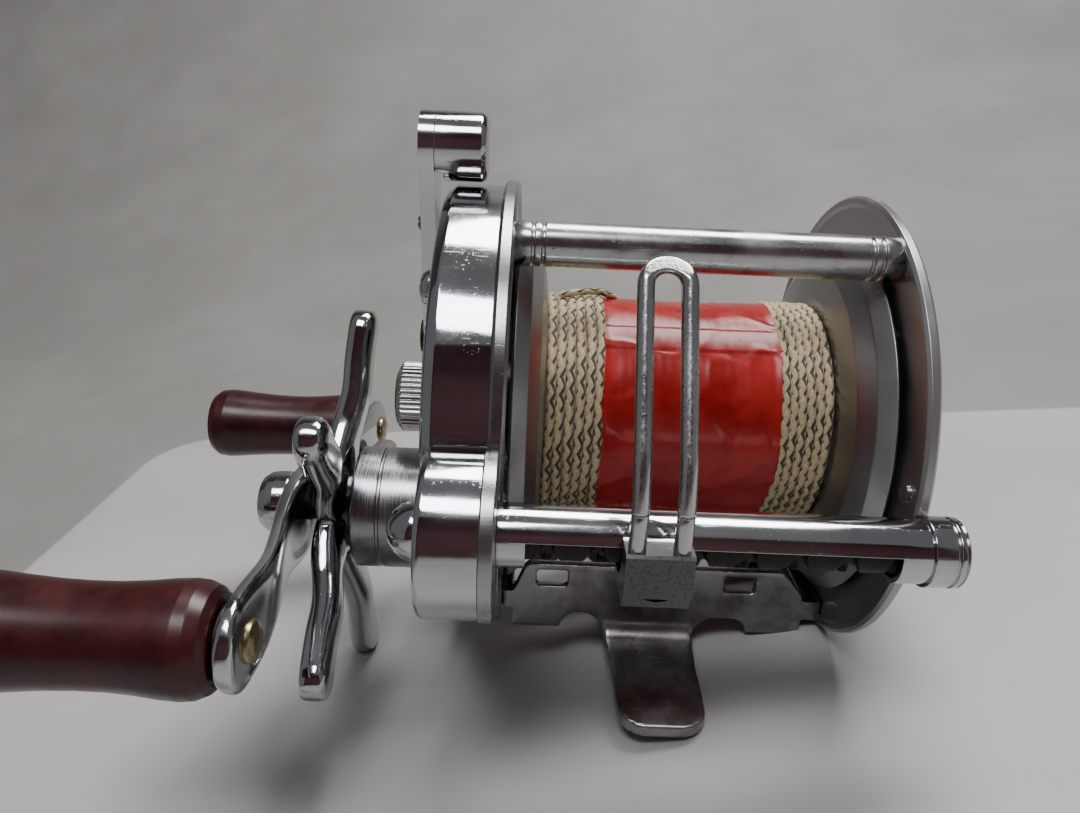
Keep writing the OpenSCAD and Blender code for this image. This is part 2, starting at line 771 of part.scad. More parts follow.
module wind_gear() color("goldenrod") {
    difference() {
        union() {
            gear(wind_teeth, wind_turn, gear_x, gear_x + gear_t, wind_y, wind_z);
            bar(3.4, -36.6, -31.8, wind_y, wind_z);
        }
        bar(2, -38, -31, wind_y, wind_z);
    }
}

// cross-threaded shaft, drawn at its outer size
module worm_shaft() color("gray") {
    bar(2, -40.6, 35.9, wind_y, wind_z);
    bar(worm_r, -27.4, 33.4, wind_y, wind_z);
}

// block that runs along the tube and carries the line guide
module carriage() color("silver") {
    w = 4.6;
    difference() {
        translate([carriage_x, 0, 0]) sheet_x(-w, w) polygon([
            [wind_y - 8.9, wind_z + 2.1], [wind_y - 8.5, wind_z + 2.5],
            [wind_y - 3, wind_z + 2.5], [wind_y, wind_z], [wind_y + 6.4, wind_z + 0.6],
            [wind_y + 6.4, wind_z - 4.4], [wind_y + 4.8, wind_z - 6],
            [wind_y - 7.6, wind_z - 6], [wind_y - 8.1, wind_z - 4], [wind_y - 8.9, wind_z - 3.9]
        ]);
        bar(tube_r + run_gap, carriage_x - 6, carriage_x + 6, wind_y, wind_z);
        translate([carriage_x, wind_y, wind_z - 7]) cylinder(r = 2.1, h = 6);
        for (s = [-1, 1]) translate([carriage_x + s * guide_gap / 2, guide_y, 38.6])
            cylinder(r = guide_r, h = 5);
        intersection() {
            translate([carriage_x, wind_y - 6.6, wind_z - 1.8]) rotate([90, 0, 0])
                cylinder(r = 3.2, h = 4);
            translate([carriage_x - 5, wind_y - 12, wind_z - 8]) cube([10, 8, 4.1]);
        }
    }
}
guide_y = wind_y - 7;
lean = 30.6;
leg_z = 48;
bend_len = 4.27;
leg_len = 25.6;

// wire hairpin that leads the line, bent back over the spool
module line_guide() color("silver") {
    bend_y = bend_len * sin(lean / 2);
    bend_z = bend_len * cos(lean / 2);
    knuckle_r = guide_r + 0.03;
    translate([carriage_x, guide_y, 0]) {
        for (s = [-1, 1]) translate([s * guide_gap / 2, 0, 0]) {
            translate([0, 0, 38.6]) cylinder(r = guide_r, h = leg_z - 38.6);
            translate([0, 0, leg_z]) sphere(r = knuckle_r);
            translate([0, 0, leg_z]) rotate([-lean / 2, 0, 0])
                cylinder(r = guide_r, h = bend_len);
            translate([0, bend_y, leg_z + bend_z]) sphere(r = knuckle_r);
        }
        translate([0, bend_y, leg_z + bend_z]) rotate([-lean, 0, 0]) {
            for (s = [-1, 1]) translate([s * guide_gap / 2, 0, 0])
                cylinder(r = guide_r, h = leg_len);
            translate([0, 0, leg_len]) rotate([90, 0, 0]) rotate_extrude(angle = 180)
                translate([guide_gap / 2, 0]) circle(r = guide_r);
        }
    }
}

module pawl() color("goldenrod") {
    translate([carriage_x, wind_y, wind_z - 6]) cylinder(r = 2.1, h = 1.1);
    translate([carriage_x, wind_y, wind_z - 5]) cylinder(r = 1.6, h = 1.4);
}

module pawl_cap() color("silver") {
    difference() {
        translate([carriage_x, wind_y, wind_z - 7.4]) cylinder(r1 = 3.1, r2 = 3.5, h = 1.4);
        translate([carriage_x, wind_y, wind_z - 7.4]) cube([8, 0.8, 1.2], center = true);
    }
}

// free-spool lever with a thumb piece over the cover's edge
module lever_plate() color("silver") {
    x0 = -44.3;
    x1 = -41.7;
    difference() {
        sheet_x(x0, x1) union() {
            translate([0, lever_knob_z]) circle(r = 5.7);
            translate([lever_y, lever_z]) circle(r = 4.2);
            polygon([[lever_y - 4.1, lever_z], [lever_y + 4.1, lever_z], [5, 82], [5.2, 87],
                [-5.2, 87], [-3, 80]]);
        }
        bar(post_r, -46, -40, lever_y, lever_z);
        bar(0.9, -46, -40, 1.9, 76);
    }
}

module lever_knob() color("silver") {
    difference() {
        turned([[0, -41.7], [5.7, -41.7], [5.7, -33.9], [5.2, -33.2], [4, -32.8], [0, -32.6]],
            0, lever_knob_z);
        translate([-42, -7, lever_knob_z - 7]) cube([1.6, 14, 3]);
    }
}

module lever_screw() color("goldenrod") {
    difference() {
        union() {
            bar(0.9, -44.3, -41.7, 1.9, 76);
            turned([[0, -45.4], [0.9, -45.3], [1.5, -44.8], [1.6, -44.3], [0, -44.3]], 1.9, 76);
        }
        slot(-45.6, -45, 1.9, 76, 4, 0.5, 70);
    }
}

// lever shaft, with the cam that lifts the yoke
module lever_shaft() color("gray") {
    turned([[0, -45.2], [3, -45.2], [3.2, -44.9], [3.2, -44.3], [0, -44.3]],
        lever_y, lever_z);
    bar(post_r, -44.3, -34.6, lever_y, lever_z);
    bar(3.4, -35.9, -34.6, lever_y, lever_z);
}

handle_ring();
tail_ring();
pillars();
ring_screws();
reel_foot();
foot_screws();
wind_tube();
tube_end_cap();
gear_plate();
gear_cover();
cover_screws();
wind_dome();
bridge_sleeve();
handle_bushing();
tail_bushing();
tail_cover();
tail_screws();
tail_cap();
idler_post();
dog_post();
anti_reverse_dog();
click_button();
click_pawl();
tension_knob();
tension_pad();
spool_shaft();
spool_arbor();
handle_flange();
tail_flange();
line_pack();
red_tape();
click_wheel();
clutch_yoke();
pinion();
crank_shaft();
main_gear();
drag_washers();
drag_sleeve();
ratchet_wheel();
handle_arm();
handle_nut();
grip_posts();
grip_collars();
star_drag();
grip_front();
grip_rear();
idler_gear();
wind_gear();
worm_shaft();
carriage();
line_guide();
pawl();
pawl_cap();
lever_plate();
lever_knob();
lever_screw();
lever_shaft();
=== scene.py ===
"""The looks of a baitcasting reel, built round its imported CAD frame.

X runs along the spool's axle with the handle on the -X side, -Y points to the rod tip and Z is up.
Shapes are written in millimetres; piece() and the other makers turn them into metres.
"""

import json
import math

import bmesh
import bpy
from mathutils import Matrix, Vector, noise


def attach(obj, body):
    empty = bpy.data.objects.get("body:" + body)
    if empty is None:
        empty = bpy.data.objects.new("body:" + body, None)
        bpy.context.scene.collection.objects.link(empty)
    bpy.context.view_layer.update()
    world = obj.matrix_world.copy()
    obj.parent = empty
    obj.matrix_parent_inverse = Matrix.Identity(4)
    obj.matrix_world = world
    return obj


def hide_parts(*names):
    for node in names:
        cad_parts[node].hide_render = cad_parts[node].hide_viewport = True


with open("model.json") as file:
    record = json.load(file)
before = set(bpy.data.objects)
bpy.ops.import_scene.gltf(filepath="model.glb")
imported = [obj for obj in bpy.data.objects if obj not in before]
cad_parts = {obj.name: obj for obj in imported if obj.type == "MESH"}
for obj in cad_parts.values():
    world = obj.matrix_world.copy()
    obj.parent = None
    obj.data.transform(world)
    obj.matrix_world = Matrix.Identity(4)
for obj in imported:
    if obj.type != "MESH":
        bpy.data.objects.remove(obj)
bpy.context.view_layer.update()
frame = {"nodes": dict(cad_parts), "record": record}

MM = 0.001
# the (y, z) places of the lines along X that parts turn about
SPOOL = (0.0, 44.0)
CRANK = (-4.24, 22.82)
WIND = (-43.1, 39.3)
LEVER = (5.0, 54.5)
TILT = math.radians(3.9)  # of the handle arm at rest
REACH = 47.5  # from the crank to each grip
GRIPS = {"front": -1, "rear": 1}
PILLARS = [(-17, 76.08), (35.4, 52.04), (24.5, 17.22)]
CARRIAGE_X = -6.2


def grip_axis(side):
    return (CRANK[0] + side * REACH * math.cos(TILT), CRANK[1] - side * REACH * math.sin(TILT))


# ---------------------------------------------------------------- camera, light and stage
def axes(yaw, pitch, roll):
    """Right, up and forward of a camera that looks along +Y, turned, tipped down and rolled."""
    fwd = Vector((math.sin(yaw) * math.cos(pitch), math.cos(yaw) * math.cos(pitch), -math.sin(pitch)))
    right = Vector((math.cos(yaw), -math.sin(yaw), 0))
    up = right.cross(fwd)
    return (right * math.cos(roll) + up * math.sin(roll),
            up * math.cos(roll) - right * math.sin(roll), fwd)


def camera():
    right, up, fwd = axes(math.radians(0.67), math.radians(20), math.radians(2.66))
    data = bpy.data.cameras.new("camera")
    data.lens, data.sensor_width, data.clip_start = 27.14, 36.0, 0.005
    ob = bpy.data.objects.new("camera", data)
    bpy.context.scene.collection.objects.link(ob)
    turn = Matrix((right, up, -fwd)).transposed().to_4x4()
    ob.matrix_world = Matrix.Translation(Vector((-24, -144.7, 95.65)) * MM) @ turn
    bpy.context.scene.camera = ob


camera()


# ---------------------------------------------------------------- mesh helpers
def fillet(points, radius=0.3, closed=False, steps=4):
    """Rounds the corners of a profile; a point may give its own radius as a third number."""
    out, n = [], len(points)
    for i, p in enumerate(points):
        rad = p[2] if len(p) > 2 else radius
        p1 = Vector(p[:2])
        if (not closed and i in (0, n - 1)) or rad <= 0:
            out.append(tuple(p1))
            continue
        a, b = Vector(points[i - 1][:2]) - p1, Vector(points[(i + 1) % n][:2]) - p1
        if a.length < 1e-6 or b.length < 1e-6:
            out.append(tuple(p1))
            continue
        half = a.angle(b) / 2
        if half > math.radians(86):
            out.append(tuple(p1))
            continue
        back = min(rad / math.tan(half), 0.45 * a.length, 0.45 * b.length)
        q0, q1 = p1 + a.normalized() * back, p1 + b.normalized() * back
        for k in range(steps + 1):
            t = k / steps
            out.append(tuple(q0 * (1 - t) ** 2 + p1 * 2 * t * (1 - t) + q1 * t * t))
    return out


def lathe(points, axis, segs=144, closed=False, radius=0.3, ripple=None):
    """Turns a profile of (radius, x) about a line along X at axis = (y, z).
    A point may give its fillet as a third number. ripple(angle, x, r) returns a new radius."""
    prof = fillet(points, radius, closed)
    verts, rows = [], []
    for r, x in prof:
        if r < 1e-5:
            rows.append([len(verts)])
            verts.append((x, axis[0], axis[1]))
            continue
        rows.append(list(range(len(verts), len(verts) + segs)))
        for k in range(segs):
            a = 2 * math.pi * k / segs
            rr = ripple(a, x, r) if ripple else r
            verts.append((x, axis[0] + rr * math.cos(a), axis[1] + rr * math.sin(a)))
    faces = []
    pairs = list(zip(rows, rows[1:] + rows[:1])) if closed else list(zip(rows, rows[1:]))
    for a, b in pairs:
        for k in range(segs):
            m = (k + 1) % segs
            if len(a) == 1 and len(b) == 1:
                continue
            if len(a) == 1:
                faces.append((a[0], b[k], b[m]))
            elif len(b) == 1:
                faces.append((a[k], a[m], b[0]))
            else:
                faces.append((a[k], a[m], b[m], b[k]))
    return verts, faces


def merged(*parts):
    verts, faces = [], []
    for v, f in parts:
        k = len(verts)
        verts += v
        faces += [tuple(i + k for i in face) for face in f]
    return verts, faces


def sweep(path, section, caps=True):
    """Carries a section along a path. section(i) gives the (u, v) points of a loop."""
    pts = [Vector(p) for p in path]
    tangents = []
    for i in range(len(pts)):
        d = pts[min(i + 1, len(pts) - 1)] - pts[max(i - 1, 0)]
        tangents.append(d.normalized())
    ref = Vector((0, 0, 1)) if abs(tangents[0].z) < 0.9 else Vector((1, 0, 0))
    u = tangents[0].cross(ref).normalized()
    verts, n = [], len(section(0))
    for i, (p, t) in enumerate(zip(pts, tangents)):
        u = (u - t * u.dot(t)).normalized()
        w = t.cross(u)
        for a, b in section(i):
            verts.append(tuple(p + u * a + w * b))
    faces = []
    for i in range(len(pts) - 1):
        for k in range(n):
            m = (k + 1) % n
            faces.append((i * n + k, i * n + m, (i + 1) * n + m, (i + 1) * n + k))
    if caps:
        faces += [tuple(range(n - 1, -1, -1)), tuple(range((len(pts) - 1) * n, len(pts) * n))]
    return verts, faces


def circle(r, n=20):
    return [(r * math.cos(2 * math.pi * k / n), r * math.sin(2 * math.pi * k / n)) for k in range(n)]


def squircle(a, b, power=4.0, n=40):
    """A rounded rectangle of half sizes a and b."""
    out = []
    for k in range(n):
        t = 2 * math.pi * (k + 0.5) / n
        c, s = math.cos(t), math.sin(t)
        out.append((a * math.copysign(abs(c) ** (2 / power), c), b * math.copysign(abs(s) ** (2 / power), s)))
    return out


def prism(outline, x0, x1):
    """A flat outline of (y, z) points with a thickness along X."""
    n = len(outline)
    verts = [(x0, y, z) for y, z in outline] + [(x1, y, z) for y, z in outline]
    faces = [tuple(range(n)), tuple(range(2 * n - 1, n - 1, -1))]
    faces += [(k, (k + 1) % n, n + (k + 1) % n, n + k) for k in range(n)]
    return verts, faces


def cad_mesh(node):
    """A CAD node's own mesh, in millimetres, with its vertices welded and its flat faces whole."""
    bm = bmesh.new()
    bm.from_mesh(frame["nodes"][node].data)
    bmesh.ops.remove_doubles(bm, verts=bm.verts, dist=2e-6)
    bmesh.ops.dissolve_limit(bm, angle_limit=math.radians(0.8), verts=bm.verts, edges=bm.edges)
    bm.verts.index_update()
    verts = [tuple(v.co / MM) for v in bm.verts]
    faces = [tuple(v.index for v in f.verts) for f in bm.faces]
    bm.free()
    return verts, faces


def piece(name, shape, body, material, nodes=(), bevel=0.0, weighted=True, welded=True, braid_at=None):
    """Makes a named object from (verts, faces), rides it on a body and hides the CAD nodes it stands for."""
    verts, faces = shape
    me = bpy.data.meshes.new(name)
    me.from_pydata([(x * MM, y * MM, z * MM) for x, y, z in verts], [], faces)
    if braid_at:
        layer = me.attributes.new("braid", "FLOAT_VECTOR", "CORNER")
        layer.data.foreach_set("vector", [c for u, v in braid_at for c in (u, v, 0.0)])
    bm = bmesh.new()
    bm.from_mesh(me)
    if welded:
        bmesh.ops.remove_doubles(bm, verts=bm.verts, dist=1e-7)
    bmesh.ops.recalc_face_normals(bm, faces=bm.faces)
    bm.to_mesh(me)
    bm.free()
    me.shade_smooth()
    me.materials.append(material)
    ob = bpy.data.objects.new(name, me)
    bpy.context.scene.collection.objects.link(ob)
    if bevel:
        mod = ob.modifiers.new("edges", "BEVEL")
        mod.width, mod.segments, mod.limit_method = bevel * MM, 3, "ANGLE"
        mod.angle_limit = math.radians(32)
        mod.use_clamp_overlap = True
    if weighted:
        mod = ob.modifiers.new("shading", "WEIGHTED_NORMAL")
        mod.keep_sharp = True
    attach(ob, body)
    if nodes:
        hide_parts(*nodes)
    return ob


def remeshed(ob, voxel, rounds, factor=0.5):
    """Welds a piece's overlapping shells into one skin and softens its edges, as casting and polishing do."""
    for mod in list(ob.modifiers):
        ob.modifiers.remove(mod)
    skin = ob.modifiers.new("skin", "REMESH")
    skin.mode, skin.voxel_size, skin.use_smooth_shade = "VOXEL", voxel * MM, True
    soft = ob.modifiers.new("soft", "SMOOTH")
    soft.factor, soft.iterations = factor, rounds
    graph = bpy.context.evaluated_depsgraph_get()
    graph.update()
    me = bpy.data.meshes.new_from_object(ob.evaluated_get(graph))
    mats = list(ob.data.materials)
    ob.modifiers.clear()
    ob.data = me
    me.materials.clear()
    for m in mats:
        me.materials.append(m)
    me.shade_smooth()
    return ob


# ---------------------------------------------------------------- materials
class Nodes:
    """A material with short calls for the nodes it needs. Object coordinates are metres in the row frame."""

    def __init__(self, name):
        self.mat = bpy.data.materials.new(name)
        self.mat.use_nodes = True
        self.tree = self.mat.node_tree
        self.shader = self.tree.nodes["Principled BSDF"]
        self.where = self.tree.nodes.new("ShaderNodeTexCoord").outputs["Object"]

    def new(self, kind, **settings):
        node = self.tree.nodes.new("ShaderNode" + kind)
        for key, value in settings.items():
            setattr(node, key, value)
        return node

    def link(self, out, socket):
        self.tree.links.new(out, socket)

    def put(self, socket, value):
        if hasattr(value, "is_linked"):
            self.link(value, socket)
        else:
            socket.default_value = value

    def stretched(self, scale, turn=(0, 0, 0)):
        node = self.new("Mapping")
        self.link(self.where, node.inputs["Vector"])
        node.inputs["Scale"].default_value = scale
        node.inputs["Rotation"].default_value = turn
        return node.outputs["Vector"]

    def noise(self, scale, detail=4.0, rough=0.55, src=None, warp=0.0):
        node = self.new("TexNoise")
        self.link(src or self.where, node.inputs["Vector"])
        node.inputs["Scale"].default_value = scale
        node.inputs["Detail"].default_value = detail
        node.inputs["Roughness"].default_value = rough
        node.inputs["Distortion"].default_value = warp
        return node.outputs["Fac"]

    def span(self, value, a, b, c=0.0, d=1.0):
        node = self.new("MapRange", interpolation_type="SMOOTHSTEP")
        self.put(node.inputs["Value"], value)
        for key, v in (("From Min", a), ("From Max", b), ("To Min", c), ("To Max", d)):
            node.inputs[key].default_value = v
        return node.outputs["Result"]

    def sum(self, a, b, how="ADD"):
        node = self.new("Math", operation=how)
        self.put(node.inputs[0], a)
        self.put(node.inputs[1], b)
        return node.outputs["Value"]

    def mix(self, fac, a, b):
        node = self.new("Mix", data_type="RGBA")
        self.put(node.inputs[0], fac)
        for socket, v in ((node.inputs[6], a), (node.inputs[7], b)):
            self.put(socket, v if hasattr(v, "is_linked") else (*v, 1.0))
        return node.outputs[2]

    def bump(self, height, distance, strength=1.0, under=None):
        node = self.new("Bump")
        node.inputs["Strength"].default_value = strength
        node.inputs["Distance"].default_value = distance * MM
        self.link(height, node.inputs["Height"])
        if under:
            self.link(under, node.inputs["Normal"])
        return node.outputs["Normal"]

    def radius(self, axis):
        """Distance from a line along X through axis = (y, z) in millimetres, in metres."""
        parts = self.new("SeparateXYZ")
        self.link(self.where, parts.inputs[0])
        y = self.sum(parts.outputs["Y"], axis[0] * MM, "SUBTRACT")
        z = self.sum(parts.outputs["Z"], axis[1] * MM, "SUBTRACT")
        return self.sum(self.sum(self.sum(y, y, "MULTIPLY"), self.sum(z, z, "MULTIPLY")), 0.5, "POWER")

    def finish(self, color, rough, normal, **constants):
        s = self.shader.inputs
        self.link(color, s["Base Color"])
        self.link(rough, s["Roughness"])
        self.link(normal, s["Normal"])
        for key, value in constants.items():
            s[key.replace("_", " ")].default_value = value
        return self.mat


def metal(name, base, stain=(0.10, 0.08, 0.07), rough=0.06, vary=0.12, pits=0.5, scratch=0.5,
          lines=None, rings=None, aniso=0.0, patina=None):
    """Worn plated or bare metal: smears, clustered pits, crossing scratches, and optional brushing.
    lines stretches the brushing noise; rings gives the (y, z) axis of turned rings;
    patina is (colour, scale, low, high, share) of a dull film."""
    n = Nodes(name)
    smear = n.noise(70, 3, 0.5, warp=0.4)
    cluster = n.span(n.noise(160, 2), 0.45, 0.72)
    specks = n.span(n.noise(2600, 2, 0.5), 0.66, 0.74)
    pit = n.sum(specks, n.sum(cluster, 0.15, "ADD"), "MULTIPLY")
    one = n.span(n.noise(1.0, 3, 0.6, n.stretched((160, 5200, 5200), (0.3, 0.5, 0.9))), 0.63, 0.72)
    two = n.span(n.noise(1.0, 3, 0.6, n.stretched((5200, 210, 5200), (1.1, 0.2, 0.4))), 0.65, 0.74)
    marks = n.sum(one, two)
    tone = n.mix(n.span(smear, 0.35, 0.7), tuple(c * 0.86 for c in base), base)
    tone = n.mix(n.sum(pit, pits, "MULTIPLY"), tone, stain)
    if patina:
        color, scale, low, high, share = patina
        tone = n.mix(n.span(n.noise(scale, 5, 0.62), low, high, 0.0, share), tone, color)
    roughness = n.sum(n.span(smear, 0.3, 0.75, rough, rough + vary), n.sum(pit, 0.35 * pits, "MULTIPLY"))
    roughness = n.sum(roughness, n.sum(marks, 0.12 * scratch, "MULTIPLY"))
    height = n.sum(n.sum(pit, -1.0 * pits, "MULTIPLY"), n.sum(marks, -0.25 * scratch, "MULTIPLY"))
    normal = n.bump(height, 0.03, 0.5)
    normal = n.bump(n.noise(330, 2, 0.4), 0.05, 0.25, normal)
    if lines:
        grain = n.noise(1.0, 3, 0.6, n.stretched(lines))
        normal = n.bump(grain, 0.012, 0.6, normal)
        roughness = n.sum(roughness, n.span(grain, 0.35, 0.7, -0.04, 0.08))
    if rings:
        node = n.new("TexNoise", noise_dimensions="1D")
        n.link(n.radius(rings), node.inputs["W"])
        node.inputs["Scale"].default_value = 5200
        node.inputs["Detail"].default_value = 2
        normal = n.bump(node.outputs["Fac"], 0.012, 0.6, normal)
    if aniso:
        tangent = n.new("Tangent", direction_type="RADIAL", axis="X")
        n.link(tangent.outputs[0], n.shader.inputs["Tangent"])
    return n.finish(tone, roughness, normal, Metallic=1.0, Anisotropic=aniso)


def plastic(name, base, dark, light, rough=0.3, coat=0.3, scuff=0.4):
    """Moulded or painted surface with mottling, scuffs and a thin gloss."""
    n = Nodes(name)
    cloud = n.noise(110, 4, 0.6)
    tone = n.mix(n.span(cloud, 0.35, 0.7), dark, base)
    wear = n.span(n.noise(1.0, 4, 0.65, n.stretched((1500, 260, 260))), 0.62, 0.74)
    specks = n.span(n.noise(1900, 2), 0.68, 0.75)
    marks = n.sum(n.sum(wear, specks), scuff, "MULTIPLY")
    tone = n.mix(marks, tone, light)
    roughness = n.sum(n.span(cloud, 0.3, 0.7, rough, rough + 0.12), n.sum(marks, 0.3, "MULTIPLY"))
    normal = n.bump(n.noise(900, 3), 0.02, 0.35)
    normal = n.bump(n.sum(marks, -1.0, "MULTIPLY"), 0.02, 0.4, normal)
    return n.finish(tone, roughness, normal, Coat_Weight=coat, Coat_Roughness=0.18, Specular_IOR_Level=0.35)


def line_material():
    """Braided line. The mesh gives each place's braid coordinates; fibres and dirt come from noise."""
    n = Nodes("line_tan")
    place = n.new("Attribute", attribute_name="braid")
    parts = n.new("SeparateXYZ")
    n.link(place.outputs["Vector"], parts.inputs[0])
    along, around = parts.outputs["X"], parts.outputs["Y"]
    a, b = n.sum(along, around), n.sum(along, around, "SUBTRACT")
    turn = n.sum(n.sum(n.sum(n.sum(a, 0, "FLOOR"), n.sum(b, 0, "FLOOR")), 0.5, "MULTIPLY"), 0, "FRACT")
    first = n.sum(turn, 0.25, "LESS_THAN")
    second = n.sum(1.0, first, "SUBTRACT")

    def on_top(how):
        """A measure of whichever yarn lies on top."""
        return n.sum(n.sum(n.sum(a, 0, how), first, "MULTIPLY"), n.sum(n.sum(b, 0, how), second, "MULTIPLY"))

    across, number = on_top("FRACT"), on_top("FLOOR")
    # most yarns one way and a third of those the other way hold a dark thread
    share = n.sum(n.sum(first, 0.6, "MULTIPLY"), 0.3)
    odd = n.sum(n.sum(n.sum(number, 0.25, "MULTIPLY"), 0, "FRACT"), share, "LESS_THAN")
    tracer = n.sum(n.span(across, 0.32, 0.42, 1.0, 0.0), odd, "MULTIPLY")
    edge = n.sum(n.sum(across, 0.5, "SUBTRACT"), 0, "ABSOLUTE")
    fibre = n.noise(4200, 3, 0.6)
    tone = n.mix(n.span(fibre, 0.3, 0.7), (0.33, 0.25, 0.13), (0.60, 0.50, 0.31))
    # painted shade: each yarn darkens towards its edges, in the grooves between the yarns
    tone = n.mix(n.span(edge, 0.36, 0.5, 0.0, 0.55), tone, (0.16, 0.11, 0.055))
    dirt = n.span(n.noise(240, 4, 0.6), 0.5, 0.75, 0.0, 0.35)
    tone = n.mix(dirt, tone, (0.24, 0.175, 0.09))
    dark = n.mix(n.span(fibre, 0.3, 0.7), (0.006, 0.006, 0.007), (0.03, 0.027, 0.025))
    tone = n.mix(n.sum(tracer, 0.96, "MULTIPLY"), tone, dark)
    rough = n.span(fibre, 0.3, 0.7, 0.62, 0.85)
    normal = n.bump(fibre, 0.05, 0.6)
    return n.finish(tone, rough, normal, Sheen_Weight=0.25, Sheen_Roughness=0.4)


def tape_material():
    n = Nodes("tape_red")
    cloud = n.noise(150, 4, 0.55)
    tone = n.mix(n.span(cloud, 0.35, 0.68), (0.25, 0.007, 0.007), (0.36, 0.013, 0.012))
    grime = n.span(n.noise(520, 5, 0.65), 0.62, 0.76, 0.0, 0.4)
    tone = n.mix(grime, tone, (0.16, 0.01, 0.008))
    rough = n.sum(n.span(cloud, 0.3, 0.7, 0.22, 0.34), n.sum(grime, 0.3, "MULTIPLY"))
    normal = n.bump(n.noise(1.0, 3, 0.5, n.stretched((260, 110, 110), (0.2, 0.1, 0.3))), 0.10, 0.35)
    return n.finish(tone, rough, normal, Coat_Weight=0.06, Coat_Roughness=0.22, Specular_IOR_Level=0.32)


CHROME = (0.52, 0.525, 0.545)
DARK_STAIN = (0.10, 0.075, 0.06)
chrome = metal("chrome", CHROME, DARK_STAIN, 0.05, 0.10, 0.55, 0.5)
chrome_plain = metal("chrome_plain", CHROME, DARK_STAIN, 0.07, 0.12, 0.35, 0.7)
chrome_ring = metal("chrome_ring", (0.36, 0.36, 0.37), DARK_STAIN, 0.20, 0.14, 0.6, 0.8, rings=SPOOL)
brushed_ring = metal("brushed_ring", (0.38, 0.375, 0.38), DARK_STAIN, 0.30, 0.14, 0.6, 0.8, rings=SPOOL)
chrome_worn = metal("chrome_worn", (0.46, 0.46, 0.465), (0.06, 0.045, 0.04), 0.16, 0.18, 0.95, 0.9,
                    patina=((0.24, 0.21, 0.19), 300, 0.52, 0.70, 0.5))
carriage_metal = metal("carriage_metal", (0.11, 0.11, 0.11), (0.008, 0.007, 0.006), 0.26, 0.14, 1.0, 0.8,
                       patina=((0.05, 0.048, 0.045), 1900, 0.50, 0.62, 0.6))
chrome_wire = metal("chrome_wire", (0.52, 0.52, 0.52), (0.10, 0.08, 0.07), 0.14, 0.16, 0.5, 0.9,
                    lines=(3000, 3000, 120), patina=((0.28, 0.25, 0.22), 420, 0.55, 0.74, 0.4))
chrome_foot = metal("chrome_foot", (0.33, 0.33, 0.33), (0.03, 0.022, 0.022), 0.22, 0.18, 1.0, 1.0,
                    patina=((0.10, 0.07, 0.068), 110, 0.44, 0.66, 0.6))
brushed = metal("brushed_sleeve", (0.29, 0.29, 0.30), DARK_STAIN, 0.18, 0.12, 0.5, 0.6,
                lines=(5200, 60, 60), aniso=0.4)
turned_metal = metal("turned_flange", (0.40, 0.40, 0.405), (0.12, 0.10, 0.09), 0.30, 0.12, 0.5, 0.7,
                     rings=SPOOL, aniso=0.55)
turned_tail = metal("turned_tail", (0.60, 0.60, 0.61), DARK_STAIN, 0.12, 0.12, 0.5, 0.7,
                    rings=SPOOL, aniso=0.4)
steel = metal("dark_steel", (0.035, 0.033, 0.032), (0.012, 0.010, 0.009), 0.42, 0.16, 0.9, 0.6,
              lines=(2600, 400, 400))
brass = metal("brass", (0.36, 0.29, 0.18), (0.13, 0.08, 0.04), 0.24, 0.18, 0.9, 0.6,
              patina=((0.22, 0.15, 0.09), 420, 0.46, 0.66, 0.7))
maroon = plastic("grip_maroon", (0.046, 0.0040, 0.0052), (0.020, 0.0022, 0.0028),
                 (0.09, 0.022, 0.021), 0.28, 0.10, 0.2)
washer = plastic("black_washer", (0.012, 0.012, 0.013), (0.005, 0.005, 0.006), (0.05, 0.05, 0.05), 0.5, 0.0)
fibre = plastic("fibre", (0.13, 0.07, 0.035), (0.07, 0.04, 0.02), (0.2, 0.13, 0.08), 0.7, 0.0)
line_mat, tape_mat = line_material(), tape_material()

# ---------------------------------------------------------------- frame: rings, pillars, cover
ring_l = lathe([(33.2, -29.95), (33.2, -28.0), (38.0, -28.0), (38.6, -27.5), (39.5, -27.5), (40.0, -28.0),
                (40.0, -29.5), (39.5, -29.95)], SPOOL, 200, True, 0.18)
plate_l = lathe([(0, -29.95), (12.3, -29.95), (12.3, -28.05), (0, -28.05)], WIND, 96, False, 0.2)
piece("handle_ring_skin", merged(ring_l, plate_l), "frame", chrome_ring, ["handle_ring"])

ring_t = lathe([(8.0, 32.3), (38.0, 32.3), (38.6, 31.8), (39.5, 31.8), (40.0, 32.3), (40.0, 33.4),
                (39.5, 33.9), (38.6, 33.9), (38.0, 33.4), (8.0, 33.4)], SPOOL, 200, True, 0.18)
boss_t = lathe([(0, 32.35), (4.9, 32.35), (4.9, 33.35), (0, 33.35)], WIND, 72, False, 0.3)
piece("tail_ring_skin", merged(ring_t, boss_t), "frame", brushed_ring, ["tail_ring"])


def pillar_profile(x0, x1, r):
    pts = [(0, x0), (r, x0, 0.0)]
    for a in (3.3, 4.9):
        pts += [(r, x0 + a - 0.35), (r - 0.35, x0 + a - 0.15), (r - 0.35, x0 + a + 0.15), (r, x0 + a + 0.35)]
    for a in (4.9, 3.3):
        pts += [(r, x1 - a - 0.35), (r - 0.35, x1 - a - 0.15), (r - 0.35, x1 - a + 0.15), (r, x1 - a + 0.35)]
    return pts + [(r, x1, 0.0), (0, x1)]


piece("pillar_bars", merged(*[lathe(pillar_profile(-28, 32.3, 3.5), p, 72, False, 0.12) for p in PILLARS]),
      "frame", chrome_worn, ["pillars"])

